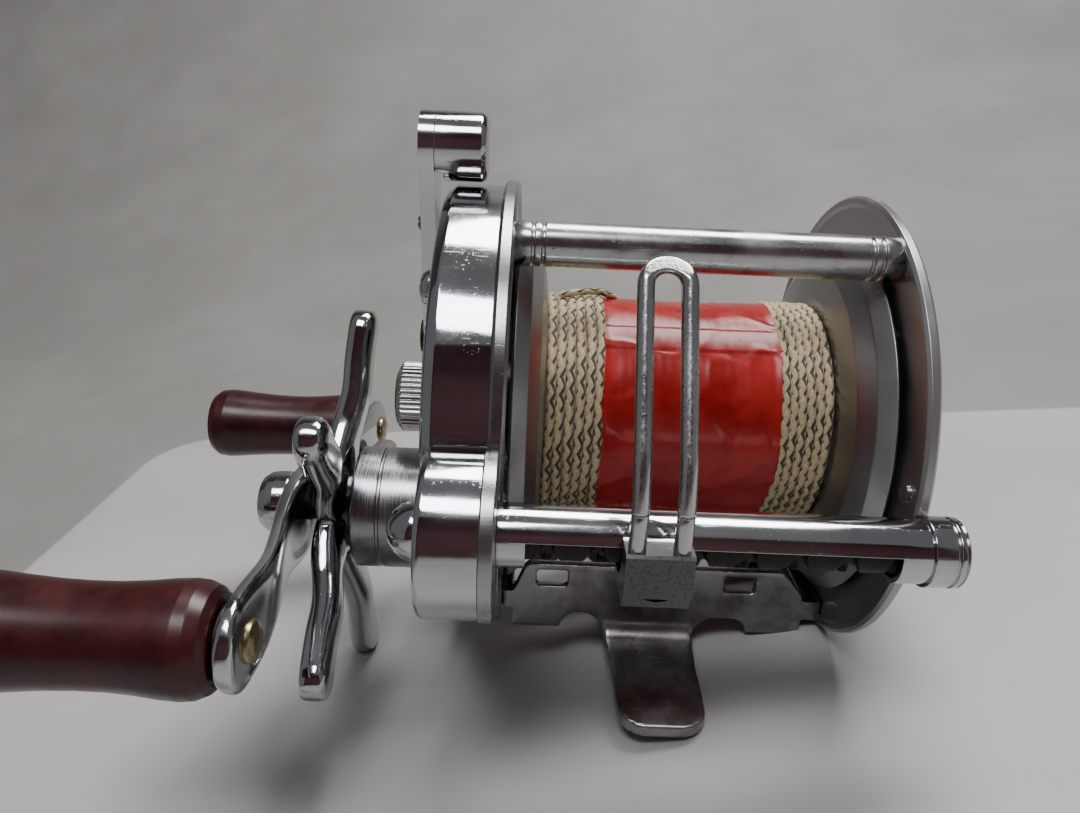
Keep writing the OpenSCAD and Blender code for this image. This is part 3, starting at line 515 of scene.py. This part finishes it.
cover = lathe([(0, -40), (36.4, -40, 1.2), (38.0, -39.6, 1.5), (39, -38.2, 1.2),
               (39, -29.97, 0.1), (34, -29.97, 0.1)], SPOOL, 220, False, 0.8)
lobe = lathe([(0, -38.5), (12, -38.5, 1.1), (12, -29.97, 0.1), (9, -29.97, 0.1)], WIND, 120, False, 0.8)
knob_boss = lathe([(3.6, -41), (3.6, -46, 0.1), (5.2, -46, 0.3), (5.2, -39.9, 0.0)], SPOOL, 72, False, 0.2)
lever_boss = lathe([(1.9, -41.6), (4.6, -41.6, 0.3), (4.6, -39.9, 0.0)], LEVER, 72, False, 0.2)
piece("gear_cover_skin", merged(cover, lobe, knob_boss, lever_boss), "frame", chrome,
      ["gear_cover"])
dome_pts = [(0, -43.6)] + [(4.3 * math.cos(math.radians(a)), -39.3 - 4.3 * math.sin(math.radians(a)))
                           for a in range(84, -1, -6)] + [(4.3, -38.3)]
piece("wind_dome_skin", lathe(dome_pts, WIND, 72, False, 0.0), "frame", chrome, ["wind_dome"])
SLEEVE = [(4.7, -49), (4.7, -55.8, 0.2), (11.4, -55.8, 0.7), (11.4, -51.2, 0.1), (11.15, -51.0, 0.1),
          (11.15, -50.6, 0.1), (11.4, -50.4, 0.1), (11.4, -39.8)]
piece("bridge_sleeve_skin", lathe(SLEEVE, CRANK, 120), "frame", brushed, ["bridge_sleeve"])

# ---------------------------------------------------------------- level wind tube with its open underside
def tube_shape():
    n, outer, inner = 120, 4.6, 3.8
    cut0, cut1 = math.radians(180 - 14), math.radians(360 - 20)
    angles = sorted({round(2 * math.pi * k / n, 6) for k in range(n)} | {round(cut0, 6), round(cut1, 6)})
    stations = [-28.0, -24.0, 27.6, 34.0]
    m = len(angles)
    verts = []
    for x in stations:
        for r in (outer, inner):
            verts += [(x, WIND[0] + r * math.cos(a), WIND[1] + r * math.sin(a)) for a in angles]

    def at(i, side, k):
        return (i * 2 + side) * m + k % m

    faces = []
    for i in range(3):
        for k in range(m):
            mid = (angles[k] + (angles[k + 1] if k + 1 < m else angles[0] + 2 * math.pi)) / 2
            if i == 1 and cut0 < mid < cut1:
                for j in (1, 2):
                    faces.append((at(j, 0, k), at(j, 0, k + 1), at(j, 1, k + 1), at(j, 1, k)))
                continue
            faces.append((at(i, 0, k), at(i, 0, k + 1), at(i + 1, 0, k + 1), at(i + 1, 0, k)))
            faces.append((at(i, 1, k), at(i + 1, 1, k), at(i + 1, 1, k + 1), at(i, 1, k + 1)))
    for k in range(m):
        for i in (0, 3):
            faces.append((at(i, 0, k), at(i, 0, k + 1), at(i, 1, k + 1), at(i, 1, k)))
    for cut in (cut0, cut1):
        k = angles.index(round(cut, 6))
        faces.append((at(1, 0, k), at(2, 0, k), at(2, 1, k), at(1, 1, k)))
    return verts, faces


piece("wind_tube_skin", tube_shape(), "frame", chrome, ["wind_tube"], bevel=0.14)
END_CAP = [(0, 31.9), (5.05, 31.9, 0.15), (5.05, 34.9), (4.75, 35.1), (4.75, 35.3), (5.05, 35.5),
           (5.05, 36.1), (4.8, 36.3), (4.8, 36.42), (5, 36.5), (4.85, 36.75, 0.2), (4.2, 37.1, 0.5),
           (2.6, 37.4), (0, 37.5)]
piece("tube_end_cap_skin", lathe(END_CAP, WIND, 96, False, 0.12), "frame", chrome_plain,
      ["tube_end_cap"])

# ---------------------------------------------------------------- tail side
TAIL = [(6.8, 38.0), (6.8, 38.85), (23, 38.4, 0.8), (25.5, 37.4, 1.2), (28.2, 35.2, 1.0),
        (30.8, 34.6, 0.3), (31.3, 33.9, 0.2), (31.0, 33.42)]
piece("tail_cover_skin", lathe(TAIL, SPOOL, 180, False, 0.3), "frame", turned_tail,
      ["tail_cover"])
TAIL_CAP = [(8, 39.0), (8, 41.4, 0.5), (7.3, 43.2, 0.8), (5.6, 44.2, 0.6), (0, 44.55)]
piece("tail_cap_skin", lathe(TAIL_CAP, SPOOL, 96), "frame", chrome_plain, ["tail_cap"])

# ---------------------------------------------------------------- foot, filleted along its walls
def foot_shape():
    parts = [cad_mesh("reel_foot")]
    rad = 3.4
    for s in (-1, 1):
        ring = [(s * 12.6, 2.0)]
        ring += [(s * (13 + rad - rad * math.cos(math.radians(a))),
                  2.2 + rad - rad * math.sin(math.radians(a))) for a in range(0, 91, 10)]
        ring += [(s * (13 + rad), 2.0)]
        parts.append(prism(ring, -8.3, 8.3))
    return merged(*parts)


foot = piece("reel_foot_skin", foot_shape(), "frame", chrome_foot, ["reel_foot"])
remeshed(foot, 0.36, 5)

# ---------------------------------------------------------------- spool
def flange_profile(x, s, hub):
    """Dished flange: x is the inner face, s the side it dishes towards, hub the length of its collar."""
    return [(2.1, x, 0), (22, x, 0.6), (27, x + s * 0.8, 1), (30.4, x + s * 2.6, 1), (31.9, x + s * 4.4, 0.2),
            (32.3, x + s * 4.9, 0.15), (31.9, x + s * 5.4, 0.2), (31.2, x + s * 5.2, 0.3),
            (29.6, x + s * 3.6, 1), (26.6, x + s * 1.85, 1), (22, x + s * 1.0, 0.6), (8, x + s * 1.0, 0.6),
            (7, x + s * hub, 0.2), (2.1, x + s * hub, 0)]


piece("handle_flange_skin", lathe(flange_profile(-21.9, -1, 7.0), SPOOL, 200, True, 0.3),
      "spool", turned_metal, ["handle_flange"])
piece("tail_flange_skin", lathe(flange_profile(26.1, 1, 4.8), SPOOL, 200, True, 0.3),
      "spool", turned_metal, ["tail_flange"])

LINE_R, STRAND = 20.5, 0.80  # radius of the wound line and of one strand
YARNS, PITCH = 3, 3.1  # yarns each way round a strand, and the length of one crossing


def braid(along, around):
    """Height of a braid at a place along a strand (mm) and around it (0 to 1)."""
    a, b = along / PITCH + around * YARNS, along / PITCH - around * YARNS
    ia, ib = math.floor(a), math.floor(b)
    over = (ia + ib) % 2 == 0
    f, g = (a - ia, b - ib) if over else (b - ib, a - ia)
    return (1 - (2 * f - 1) ** 2) * (0.55 + 0.45 * math.sin(math.pi * g))


def strand(path_at, stops, spots, radius, sides=18, ring=False):
    """A braided strand: path_at(i, across, out) gives a point, spots the distance along it."""
    verts, faces, places = [], [], []
    for i in range(stops):
        for k in range(sides):
            p = 2 * math.pi * k / sides
            r = radius(i) * (0.92 + 0.14 * braid(spots[i], (k / sides + 0.5) % 1))
            verts.append(path_at(i, r * math.sin(p), r * math.cos(p)))
    for i in range(stops if ring else stops - 1):
        j = (i + 1) % stops
        for k in range(sides):
            m = (k + 1) % sides
            faces.append((i * sides + k, i * sides + m, j * sides + m, j * sides + k))
            v0, v1 = (k / sides + 0.5) % 1 * YARNS, ((k / sides + 0.5) % 1 + 1 / sides) * YARNS
            u0, u1 = spots[i] / PITCH, (spots[i] + (spots[1] - spots[0])) / PITCH
            places += [(u0, v0), (u0, v1), (u1, v1), (u1, v0)]
    return verts, faces, places


def wound_line():
    parts, places, turns = [], [], 480
    for x0, x1, count in ((-21.7, -11.9, 6), (17.2, 25.9, 6)):
        step = (x1 - x0 - 2 * STRAND) / (count - 1)
        for number in range(count):
            base, mid = LINE_R - STRAND, x0 + STRAND + number * step
            key = number + (3 if x0 > 0 else 0)
            whole = round(2 * math.pi * LINE_R / PITCH / 2) * 2 * PITCH

            def at(i, across, out):
                t = 2 * math.pi * i / turns
                wob = 0.10 * math.sin(3 * t + key * 1.7) + 0.06 * math.sin(7 * t + key)
                rr = base + 0.07 * math.sin(5 * t + key * 2.3) + out
                return (mid + wob + across, SPOOL[0] + rr * math.cos(t), SPOOL[1] + rr * math.sin(t))

            spots = [whole * i / turns + key * 1.13 for i in range(turns)]
            v, f, c = strand(at, turns, spots, lambda i: STRAND, ring=True)
            parts.append((v, f))
            places += c
    under = LINE_R - 1.3
    core = lathe([(9, -21.85), (under, -21.85), (under, 26.05), (9, 26.05)], SPOOL, 120, True, 0.1)
    places += [(0.5, 0.1)] * sum(len(f) for f in core[1])
    parts.append(core)
    return merged(*parts), places


shape, places = wound_line()
piece("wound_line", shape, "spool", line_mat, ["line_pack"],
      weighted=False, welded=False, braid_at=places)


def line_end():
    """The end of the line, laid over the left band and tucked under the tape."""
    path, stops = [], 90
    for i in range(stops):
        t = i / (stops - 1)
        x = -19.8 + 10.6 * t
        a = math.radians(96 + 16 * math.sin(1.2 * t) - 30 * t)
        r = LINE_R + 0.55 + 0.35 * math.sin(math.pi * min(1, t * 1.15)) - 1.1 * max(0, t - 0.72) / 0.28
        path.append(Vector((x, SPOOL[0] + r * math.cos(a), SPOOL[1] + r * math.sin(a))))
    spots = [0.0]
    for p, q in zip(path, path[1:]):
        spots.append(spots[-1] + (q - p).length)

    def at(i, across, out):
        t = (path[min(i + 1, stops - 1)] - path[max(i - 1, 0)]).normalized()
        up = Vector((0, path[i].y - SPOOL[0], path[i].z - SPOOL[1])).normalized()
        up = (up - t * up.dot(t)).normalized()
        return tuple(path[i] + t.cross(up) * across + up * out)

    v, f, c = strand(at, stops, spots, lambda i: 0.62 if 2 < i < stops - 3 else 0.42)
    for end in (0, stops - 1):
        f.append(tuple(end * 18 + k for k in range(18)))
        c += [(0.5, 0.1)] * 18
    return (v, f), c


shape, places = line_end()
piece("line_end", shape, "spool", line_mat, weighted=False, welded=False, braid_at=places)


def tape_shape():
    """Wrinkled tape round the line, with uneven edges and an overlapping end."""
    rows, segs = 96, 420
    verts, faces = [], []
    for side, lift in ((0, 0.0), (1, -0.22)):
        for i in range(rows + 1):
            s = i / rows
            for k in range(segs):
                a = 2 * math.pi * k / segs
                y, z = math.cos(a), math.sin(a)
                edge0 = -12.2 + 0.45 * noise.noise((y * 3, z * 3, 1.7)) - 0.2
                edge1 = 17.7 + 0.5 * noise.noise((y * 3, z * 3, 9.1))
                x = edge0 + (edge1 - edge0) * s
                fold = noise.noise((x * 0.07, y * 1.8 + x * 0.03, z * 1.8))
                ridge = noise.noise((x * 0.13 + y * 1.2, y * 2.6 + x * 0.05, z * 2.6))
                crease = 1 - min(1.0, abs(ridge) * 5.0)
                soft = noise.noise((x * 0.22, y * 5, z * 5))
                strands = 0.008 * math.cos(2 * math.pi * (x + 14) / 1.63)
                sag = -0.35 * math.exp(-((s - 0.5) / 0.5) ** 2)
                lip = 0.28 * (math.exp(-(s / 0.03) ** 2) + math.exp(-((1 - s) / 0.03) ** 2))
                r = 20.0 + 0.30 * fold + 0.13 * crease + 0.02 * soft + strands + sag * 0.6 + lip + lift
                seam = (k / segs * 360 - 118) % 360
                if seam < 14:
                    r += 0.16
                verts.append((x, SPOOL[0] + r * y, SPOOL[1] + r * z))
    n = (rows + 1) * segs
    for side in (0, 1):
        for i in range(rows):
            for k in range(segs):
                m = (k + 1) % segs
                faces.append((side * n + i * segs + k, side * n + i * segs + m,
                              side * n + (i + 1) * segs + m, side * n + (i + 1) * segs + k))
    for i in (0, rows):
        for k in range(segs):
            m = (k + 1) % segs
            faces.append((i * segs + k, i * segs + m, n + i * segs + m, n + i * segs + k))
    return verts, faces


piece("red_tape_skin", tape_shape(), "spool", tape_mat, ["red_tape"], weighted=False)

# ---------------------------------------------------------------- level wind carriage, guide and worm
carriage = piece("carriage_block", cad_mesh("carriage"), "carriage", carriage_metal,
                 ["carriage"], bevel=0.22)
# the block's faces that look up get the brighter chrome_plain: a painted highlight where the top light falls
carriage.data.materials.append(chrome_plain)
for face in carriage.data.polygons:
    if face.normal.z > 0.9:
        face.material_index = 1


def guide_shape():
    y0, lean, r = WIND[0] - 7, math.radians(30.6), 1.22
    bend = Vector((0, 4.27 * math.sin(lean / 2), 4.27 * math.cos(lean / 2)))
    up = Vector((0, math.sin(lean), math.cos(lean)))
    foot_p, knee = Vector((0, y0, 38.6)), Vector((0, y0, 48.0))
    hip = knee + bend
    leg = [foot_p + (knee - foot_p) * t / 8 for t in range(8)]
    for k in range(17):
        t = k / 16
        p0, p3 = knee - Vector((0, 0, 1.6)), hip + up * 1.6
        leg.append(p0 * (1 - t) ** 3 + (knee + bend * 0.2) * 3 * t * (1 - t) ** 2
                   + (hip - bend * 0.2) * 3 * t * t * (1 - t) + p3 * t ** 3)
    leg += [hip + up * (2.0 + 23.6 * t / 24) for t in range(1, 25)]
    top = hip + up * 25.6
    half = 3.0
    path = [Vector((-half, 0, 0)) + p for p in leg]
    path += [top + Vector((-half * math.cos(a), 0, 0)) + up * half * math.sin(a)
             for a in [math.pi * k / 24 for k in range(1, 24)]]
    path += [Vector((half, 0, 0)) + p for p in reversed(leg)]
    path = [p + Vector((CARRIAGE_X, 0, 0)) for p in path]
    verts, faces = sweep(path, lambda i: circle(r, 24))
    flat = Vector((0, -0.62, 0.785)).normalized()
    limit = max(Vector(v).dot(flat) for v in verts) - 0.80
    out = []
    for v in verts:
        v = Vector(v)
        over = v.dot(flat) - limit
        out.append(tuple(v - flat * over if over > 0 else v))
    return out, faces


piece("line_guide_wire", guide_shape(), "carriage", chrome_wire, ["line_guide"])


def worm_shape():
    """Shaft with a left and a right thread that cross, and plain ends."""
    n, rows, x0, x1 = 72, 420, -27.4, 33.4
    verts, faces = [], []
    for i in range(rows + 1):
        x = x0 + (x1 - x0) * i / rows
        for k in range(n):
            a = 2 * math.pi * k / n
            depth = 0.0
            for sign in (1, -1):
                f = ((x / 7.0 + sign * a / (2 * math.pi)) % 1.0) - 0.5
                depth = max(depth, 1.0 - (abs(f) * 7.0 / 0.8) ** 4) if abs(f) * 7.0 < 0.8 else depth
            ends = min(1.0, max(0.0, min(x - x0 - 1.5, x1 - 1.5 - x)) / 1.0)
            r = 3.3 - 0.95 * depth * ends
            verts.append((x, WIND[0] + r * math.cos(a), WIND[1] + r * math.sin(a)))
    for i in range(rows):
        for k in range(n):
            m = (k + 1) % n
            faces.append((i * n + k, i * n + m, (i + 1) * n + m, (i + 1) * n + k))
    faces += [tuple(range(n - 1, -1, -1)), tuple(range(rows * n, rows * n + n))]
    ends = [lathe([(0, a), (2, a), (2, b), (0, b)], WIND, 48) for a, b in ((-40.6, -27.3), (33.3, 35.9))]
    return merged((verts, faces), *ends)


piece("worm_skin", worm_shape(), "worm", steel, ["worm_shaft"], weighted=False)

# ---------------------------------------------------------------- handle
def ease(s, s0, s1, a, b):
    if s <= s0 or s >= s1:
        return a if s <= s0 else b
    return a + (b - a) * (1 - math.cos(math.pi * (s - s0) / (s1 - s0))) / 2


def arm_shape():
    path, sizes = [], []
    reach, pad = REACH, 7.0
    stops = [-reach - pad * math.cos(math.radians(a)) for a in range(0, 90, 6)]
    stops += [-reach + reach * 2 * k / 150 for k in range(151)]
    stops += [reach + pad * math.sin(math.radians(a)) for a in range(6, 91, 6)]
    for s in stops:
        t = abs(s)
        x = ease(t, 9, 42, -66, -62.3)
        half = ease(t, 4, 22, 2, 1.5)
        side = ease(t, 5, 26, 8.2, 5.4) + ease(t, 28, 45, 0, 1.6)
        if t > reach:
            k = math.sqrt(max(0.0, 1 - ((t - reach) / pad) ** 2))
            side = max(0.25, pad * k)
            half = half * (0.45 + 0.55 * min(1.0, k * 2.2))
        path.append((x, CRANK[0] + s * math.cos(TILT), CRANK[1] - s * math.sin(TILT)))
        sizes.append((half, side))
    verts, n = [], 44
    tilt_up = Vector((0, math.sin(TILT), math.cos(TILT)))
    pts = [Vector(p) for p in path]
    for i, (p, (half, side)) in enumerate(zip(pts, sizes)):
        t = (pts[min(i + 1, len(pts) - 1)] - pts[max(0, i - 1)]).normalized()
        out = t.cross(tilt_up).normalized()
        for a, b in squircle(half, side, 3.4, n):
            verts.append(tuple(p + out * a + tilt_up * b))
    faces = [(i * n + k, i * n + (k + 1) % n, (i + 1) * n + (k + 1) % n, (i + 1) * n + k)
             for i in range(len(pts) - 1) for k in range(n)]
    faces += [tuple(range(n - 1, -1, -1)), tuple(range((len(pts) - 1) * n, len(pts) * n))]
    return verts, faces


piece("handle_arm_skin", arm_shape(), "crank", chrome, ["handle_arm"], weighted=False)
NUT = [(0, -75.2), (2.6, -75.0, 0.5), (4.7, -74.2, 0.8), (5.7, -72.8, 0.8), (5.9, -71.4, 0.4),
       (5.9, -69.1, 0.3), (5.4, -68.02, 0.2), (3, -68.02)]
piece("handle_nut_skin", lathe(NUT, CRANK, 96), "crank", chrome_plain, ["handle_nut"])
POST = [(0, -59.5), (1.9, -59.65, 0.3), (2.9, -60.2, 0.4), (3.1, -60.82, 0.1), (1.8, -60.85, 0),
        (1.8, -97.4, 0.2), (0, -97.4)]
COLLAR = [(1.8, -63.8), (5.2, -63.8, 0.1), (5.2, -64.2, 0.1), (1.8, -64.2)]
posts = [lathe(POST, grip_axis(s), 64) for s in GRIPS.values()]
collars = [lathe(COLLAR, grip_axis(s), 72, True) for s in GRIPS.values()]
piece("grip_posts_skin", merged(*posts), "crank", brass, ["grip_posts"])
piece("grip_collars_skin", merged(*collars), "crank", washer, ["grip_collars"])

GRIP = [(1.86, -97.9), (1.86, -64.5, 0.1), (6.3, -64.5, 0.25), (7.3, -65.5, 0.5), (8.0, -67.2, 1.2),
        (8.15, -68.9, 1.5), (8.0, -71.5), (7.6, -75), (7.3, -79), (7.25, -83), (7.4, -87.5), (7.75, -92),
        (8.1, -95.2), (8.25, -97.5, 2.0), (8.0, -99.7, 1.0), (6.9, -101.2, 0.8), (4.6, -101.85, 0.8),
        (0, -101.9)]
for name, s in GRIPS.items():
    piece(f"grip_{name}_skin", lathe(GRIP, grip_axis(s), 120, False, 3.0), f"{name}_grip",
          maroon, [f"grip_{name}"])


STAR_START = 25.5  # degrees from the first arm to straight up


def star_shape():
    parts = [lathe([(3.06, -62.6), (6.5, -62.6, 0.5), (7.5, -61.6, 0.8), (8.7, -59.2, 0.8), (8.8, -58, 0.5),
                    (7, -56.4, 0.5), (3.06, -56.4)], CRANK, 96, True)]
    for i in range(5):
        turn = math.radians(90 - STAR_START + i * 72)
        ry, rz = math.cos(turn), math.sin(turn)
        tip, end = 34.1, 3.9
        stops = [4 + (tip - 4) * k / 60 for k in range(61)]
        stops += [tip + end * math.sin(math.radians(a)) for a in range(9, 91, 9)]
        path, sizes = [], []
        for s in stops:
            x = ease(s, 10, 24, -60, -57.9) + ease(s, 26, 38, 0, 0.6)
            half, side = ease(s, 8, 20, 2.7, 2.65), ease(s, 8, 18, 6, 4.0)
            if s > tip:
                k = math.sqrt(max(0.0, 1 - ((s - tip) / end) ** 2))
                side, half = max(0.15, end * k), half * (0.35 + 0.65 * math.sqrt(k))
            path.append(Vector((x, CRANK[0] + s * ry, CRANK[1] + s * rz)))
            sizes.append((half, side))
        cross = Vector((0, -rz, ry))
        verts, n = [], 32
        for k, (p, (half, side)) in enumerate(zip(path, sizes)):
            t = (path[min(k + 1, len(path) - 1)] - path[max(0, k - 1)]).normalized()
            out = t.cross(cross).normalized()
            verts += [tuple(p + out * a + cross * b) for a, b in squircle(half, side, 3.0, n)]
        faces = [(j * n + k, j * n + (k + 1) % n, (j + 1) * n + (k + 1) % n, (j + 1) * n + k)
                 for j in range(len(path) - 1) for k in range(n)]
        faces += [tuple(range(n - 1, -1, -1)), tuple(range((len(path) - 1) * n, len(path) * n))]
        parts.append((verts, faces))
    return merged(*parts)


star = piece("star_skin", star_shape(), "star", chrome, ["star_drag"])
remeshed(star, 0.36, 4)

# ---------------------------------------------------------------- tension knob, lever
def knurl(a, x, r):
    if r > 6.05 and -47.9 < x < -42.3:
        return r + 0.42 * (0.5 + 0.5 * math.cos(a * 40)) ** 0.7
    return r


KNOB = [(0, -48.9), (5, -48.9, 0.4), (5.8, -48.45, 0.3), (6.1, -47.82, 0.05), (6.18, -47.7, 0.05),
        (6.18, -42.5, 0.05), (6.0, -42.2, 0.05), (6.0, -42.0, 0.1), (5.26, -42.0, 0.1), (5.26, -47.6)]
piece("tension_knob_skin", lathe(KNOB, SPOOL, 480, False, 0.3, knurl), "tension_knob",
      chrome_worn, ["tension_knob"])
for node, width in (("lever_plate", 0.35), ("lever_knob", 0.25)):
    piece(node + "_skin", cad_mesh(node), "lever", chrome, [node], bevel=width)

# ---------------------------------------------------------------- small parts with broken edges
SMALL = {
    "ring_screws": (chrome_plain, 0.12), "foot_screws": (chrome_worn, 0.12),
    "cover_screws": (chrome_plain, 0.15), "tail_screws": (chrome_plain, 0.1),
    "click_button": (chrome_plain, 0.15), "pawl_cap": (chrome_worn, 0.15),
    "lever_screw": (brass, 0.1), "lever_shaft": (steel, 0.12),
}
body_of = {n: b for b, members in frame["record"]["behaviour"]["bodies"].items() for n in members}
slot_of = {p["node"]: p["material_slot"] for p in frame["record"]["subparts"]}
for node, (material, width) in SMALL.items():
    piece(node + "_skin", cad_mesh(node), body_of[node], material, [node], bevel=width)

CARRIED = {"chrome_plate": chrome_plain, "satin_plate": turned_metal, "dark_steel": steel, "brass": brass,
           "grip_maroon": maroon, "black_washer": washer, "line_tan": line_mat, "tape_red": tape_mat,
           "fibre": fibre}
for node, ob in frame["nodes"].items():
    for k in range(max(1, len(ob.material_slots))):
        if not ob.material_slots:
            ob.data.materials.append(CARRIED[slot_of[node]])
        else:
            ob.material_slots[k].material = CARRIED[slot_of[node]]

# ---------------------------------------------------------------- stage
def stage_material(name, low, high, scale, rough):
    n = Nodes(name)
    tone = n.mix(n.span(n.noise(scale, 4, 0.6), 0.35, 0.7), low, high)
    normal = n.bump(n.noise(scale * 6, 3), 0.4, 0.15)
    return n.finish(tone, n.span(n.noise(scale * 2, 2), 0.3, 0.7, rough, rough + 0.1), normal)


# the reel stands on its foot's right edge and on the lowest tip of its star wheel
REST_RISE, REST_RUN = 14.95, 67.6
slope = math.atan2(REST_RISE, REST_RUN)


def floor_material():
    """Pale sheet on a darker floor, with straight edges and a rounded corner, in the floor's own place."""
    n = Nodes("floor_pale")
    parts = n.new("SeparateXYZ")
    n.link(n.where, parts.inputs[0])
    x, y, corner = parts.outputs["X"], parts.outputs["Y"], 0.025
    rise = math.atan2(-102.6, 293.7)
    back = n.sum(n.sum(n.sum(x, 0.1737), math.sin(rise), "MULTIPLY"),
                 n.sum(n.sum(0.1687, y, "SUBTRACT"), math.cos(rise), "MULTIPLY"))
    side = n.sum(x, 0.1725)
    u = n.sum(n.sum(corner, back, "SUBTRACT"), 0.0, "MAXIMUM")
    v = n.sum(n.sum(corner, side, "SUBTRACT"), 0.0, "MAXIMUM")
    reach = n.sum(n.sum(n.sum(u, u, "MULTIPLY"), n.sum(v, v, "MULTIPLY")), 0.5, "POWER")
    inside = n.span(n.sum(corner, reach, "SUBTRACT"), -0.0012, 0.0012)
    cloud = n.span(n.noise(9, 4, 0.6), 0.35, 0.7)
    white = n.mix(cloud, (0.35, 0.345, 0.338), (0.40, 0.395, 0.385))
    dull = n.mix(cloud, (0.20, 0.193, 0.184), (0.235, 0.227, 0.216))
    normal = n.bump(n.noise(60, 3), 0.4, 0.12)
    return n.finish(n.mix(inside, dull, white), n.span(n.noise(20, 2), 0.3, 0.7, 0.5, 0.62), normal)


def ground():
    """A pale floor that curves up into a wall behind, tilted so that the reel rests on it."""
    profile = [(-3000, 0), (260, 0)]
    bend = 640
    for a in range(3, 91, 3):
        turn = math.radians(a)
        profile.append((260 + bend * math.sin(turn), bend - bend * math.cos(turn)))
    profile.append((260 + bend, 2600))
    verts = [(x, y, z + (x - 8.2) * math.tan(slope)) for y, z in profile for x in (-3000, 3000)]
    faces = [(2 * k, 2 * k + 1, 2 * k + 3, 2 * k + 2) for k in range(len(profile) - 1)]
    me = bpy.data.meshes.new("ground")
    me.from_pydata([tuple(c * MM for c in p) for p in verts], [], faces)
    me.shade_smooth()
    me.materials.append(floor_material())
    ob = bpy.data.objects.new("ground", me)
    bpy.context.scene.collection.objects.link(ob)


def panel(name, center, right, up, half_w, half_h, material, seen=True):
    c, r, u = Vector(center), Vector(right).normalized(), Vector(up).normalized()
    pts = [c + r * a * half_w + u * b * half_h for a, b in ((-1, -1), (1, -1), (1, 1), (-1, 1))]
    me = bpy.data.meshes.new(name)
    me.from_pydata([tuple(p * MM) for p in pts], [], [(0, 1, 2, 3)])
    me.materials.append(material)
    ob = bpy.data.objects.new(name, me)
    bpy.context.scene.collection.objects.link(ob)
    ob.visible_camera = seen


def area(name, place, target, w, h, power, color=(1, 1, 1)):
    data = bpy.data.lights.new(name, "AREA")
    data.shape, data.size, data.size_y, data.energy, data.color = "RECTANGLE", w * MM, h * MM, power, color
    ob = bpy.data.objects.new(name, data)
    bpy.context.scene.collection.objects.link(ob)
    look = (Vector(target) - Vector(place)).to_track_quat("-Z", "Y")
    ob.matrix_world = Matrix.Translation(Vector(place) * MM) @ look.to_matrix().to_4x4()


ground()
dark_card = stage_material("dark_card", (0.105, 0.042, 0.048), (0.140, 0.060, 0.068), 6, 0.8)
panel("dark_card", (-60, -1250, 560), (1, 0, 0), (0, 0, 1), 900, 760, dark_card, seen=False)
area("key", (120, 320, 1050), (0, 0, 40), 620, 420, 16.0, (1.0, 0.985, 0.96))
area("top_front", (-260, -560, 1150), (0, 0, 40), 520, 360, 9.0, (0.95, 0.97, 1.0))
world = bpy.data.worlds.new("soft")
world.use_nodes = True
world.node_tree.nodes["Background"].inputs["Color"].default_value = (0.80, 0.80, 0.82, 1)
world.node_tree.nodes["Background"].inputs["Strength"].default_value = 0.24
bpy.context.scene.world = world
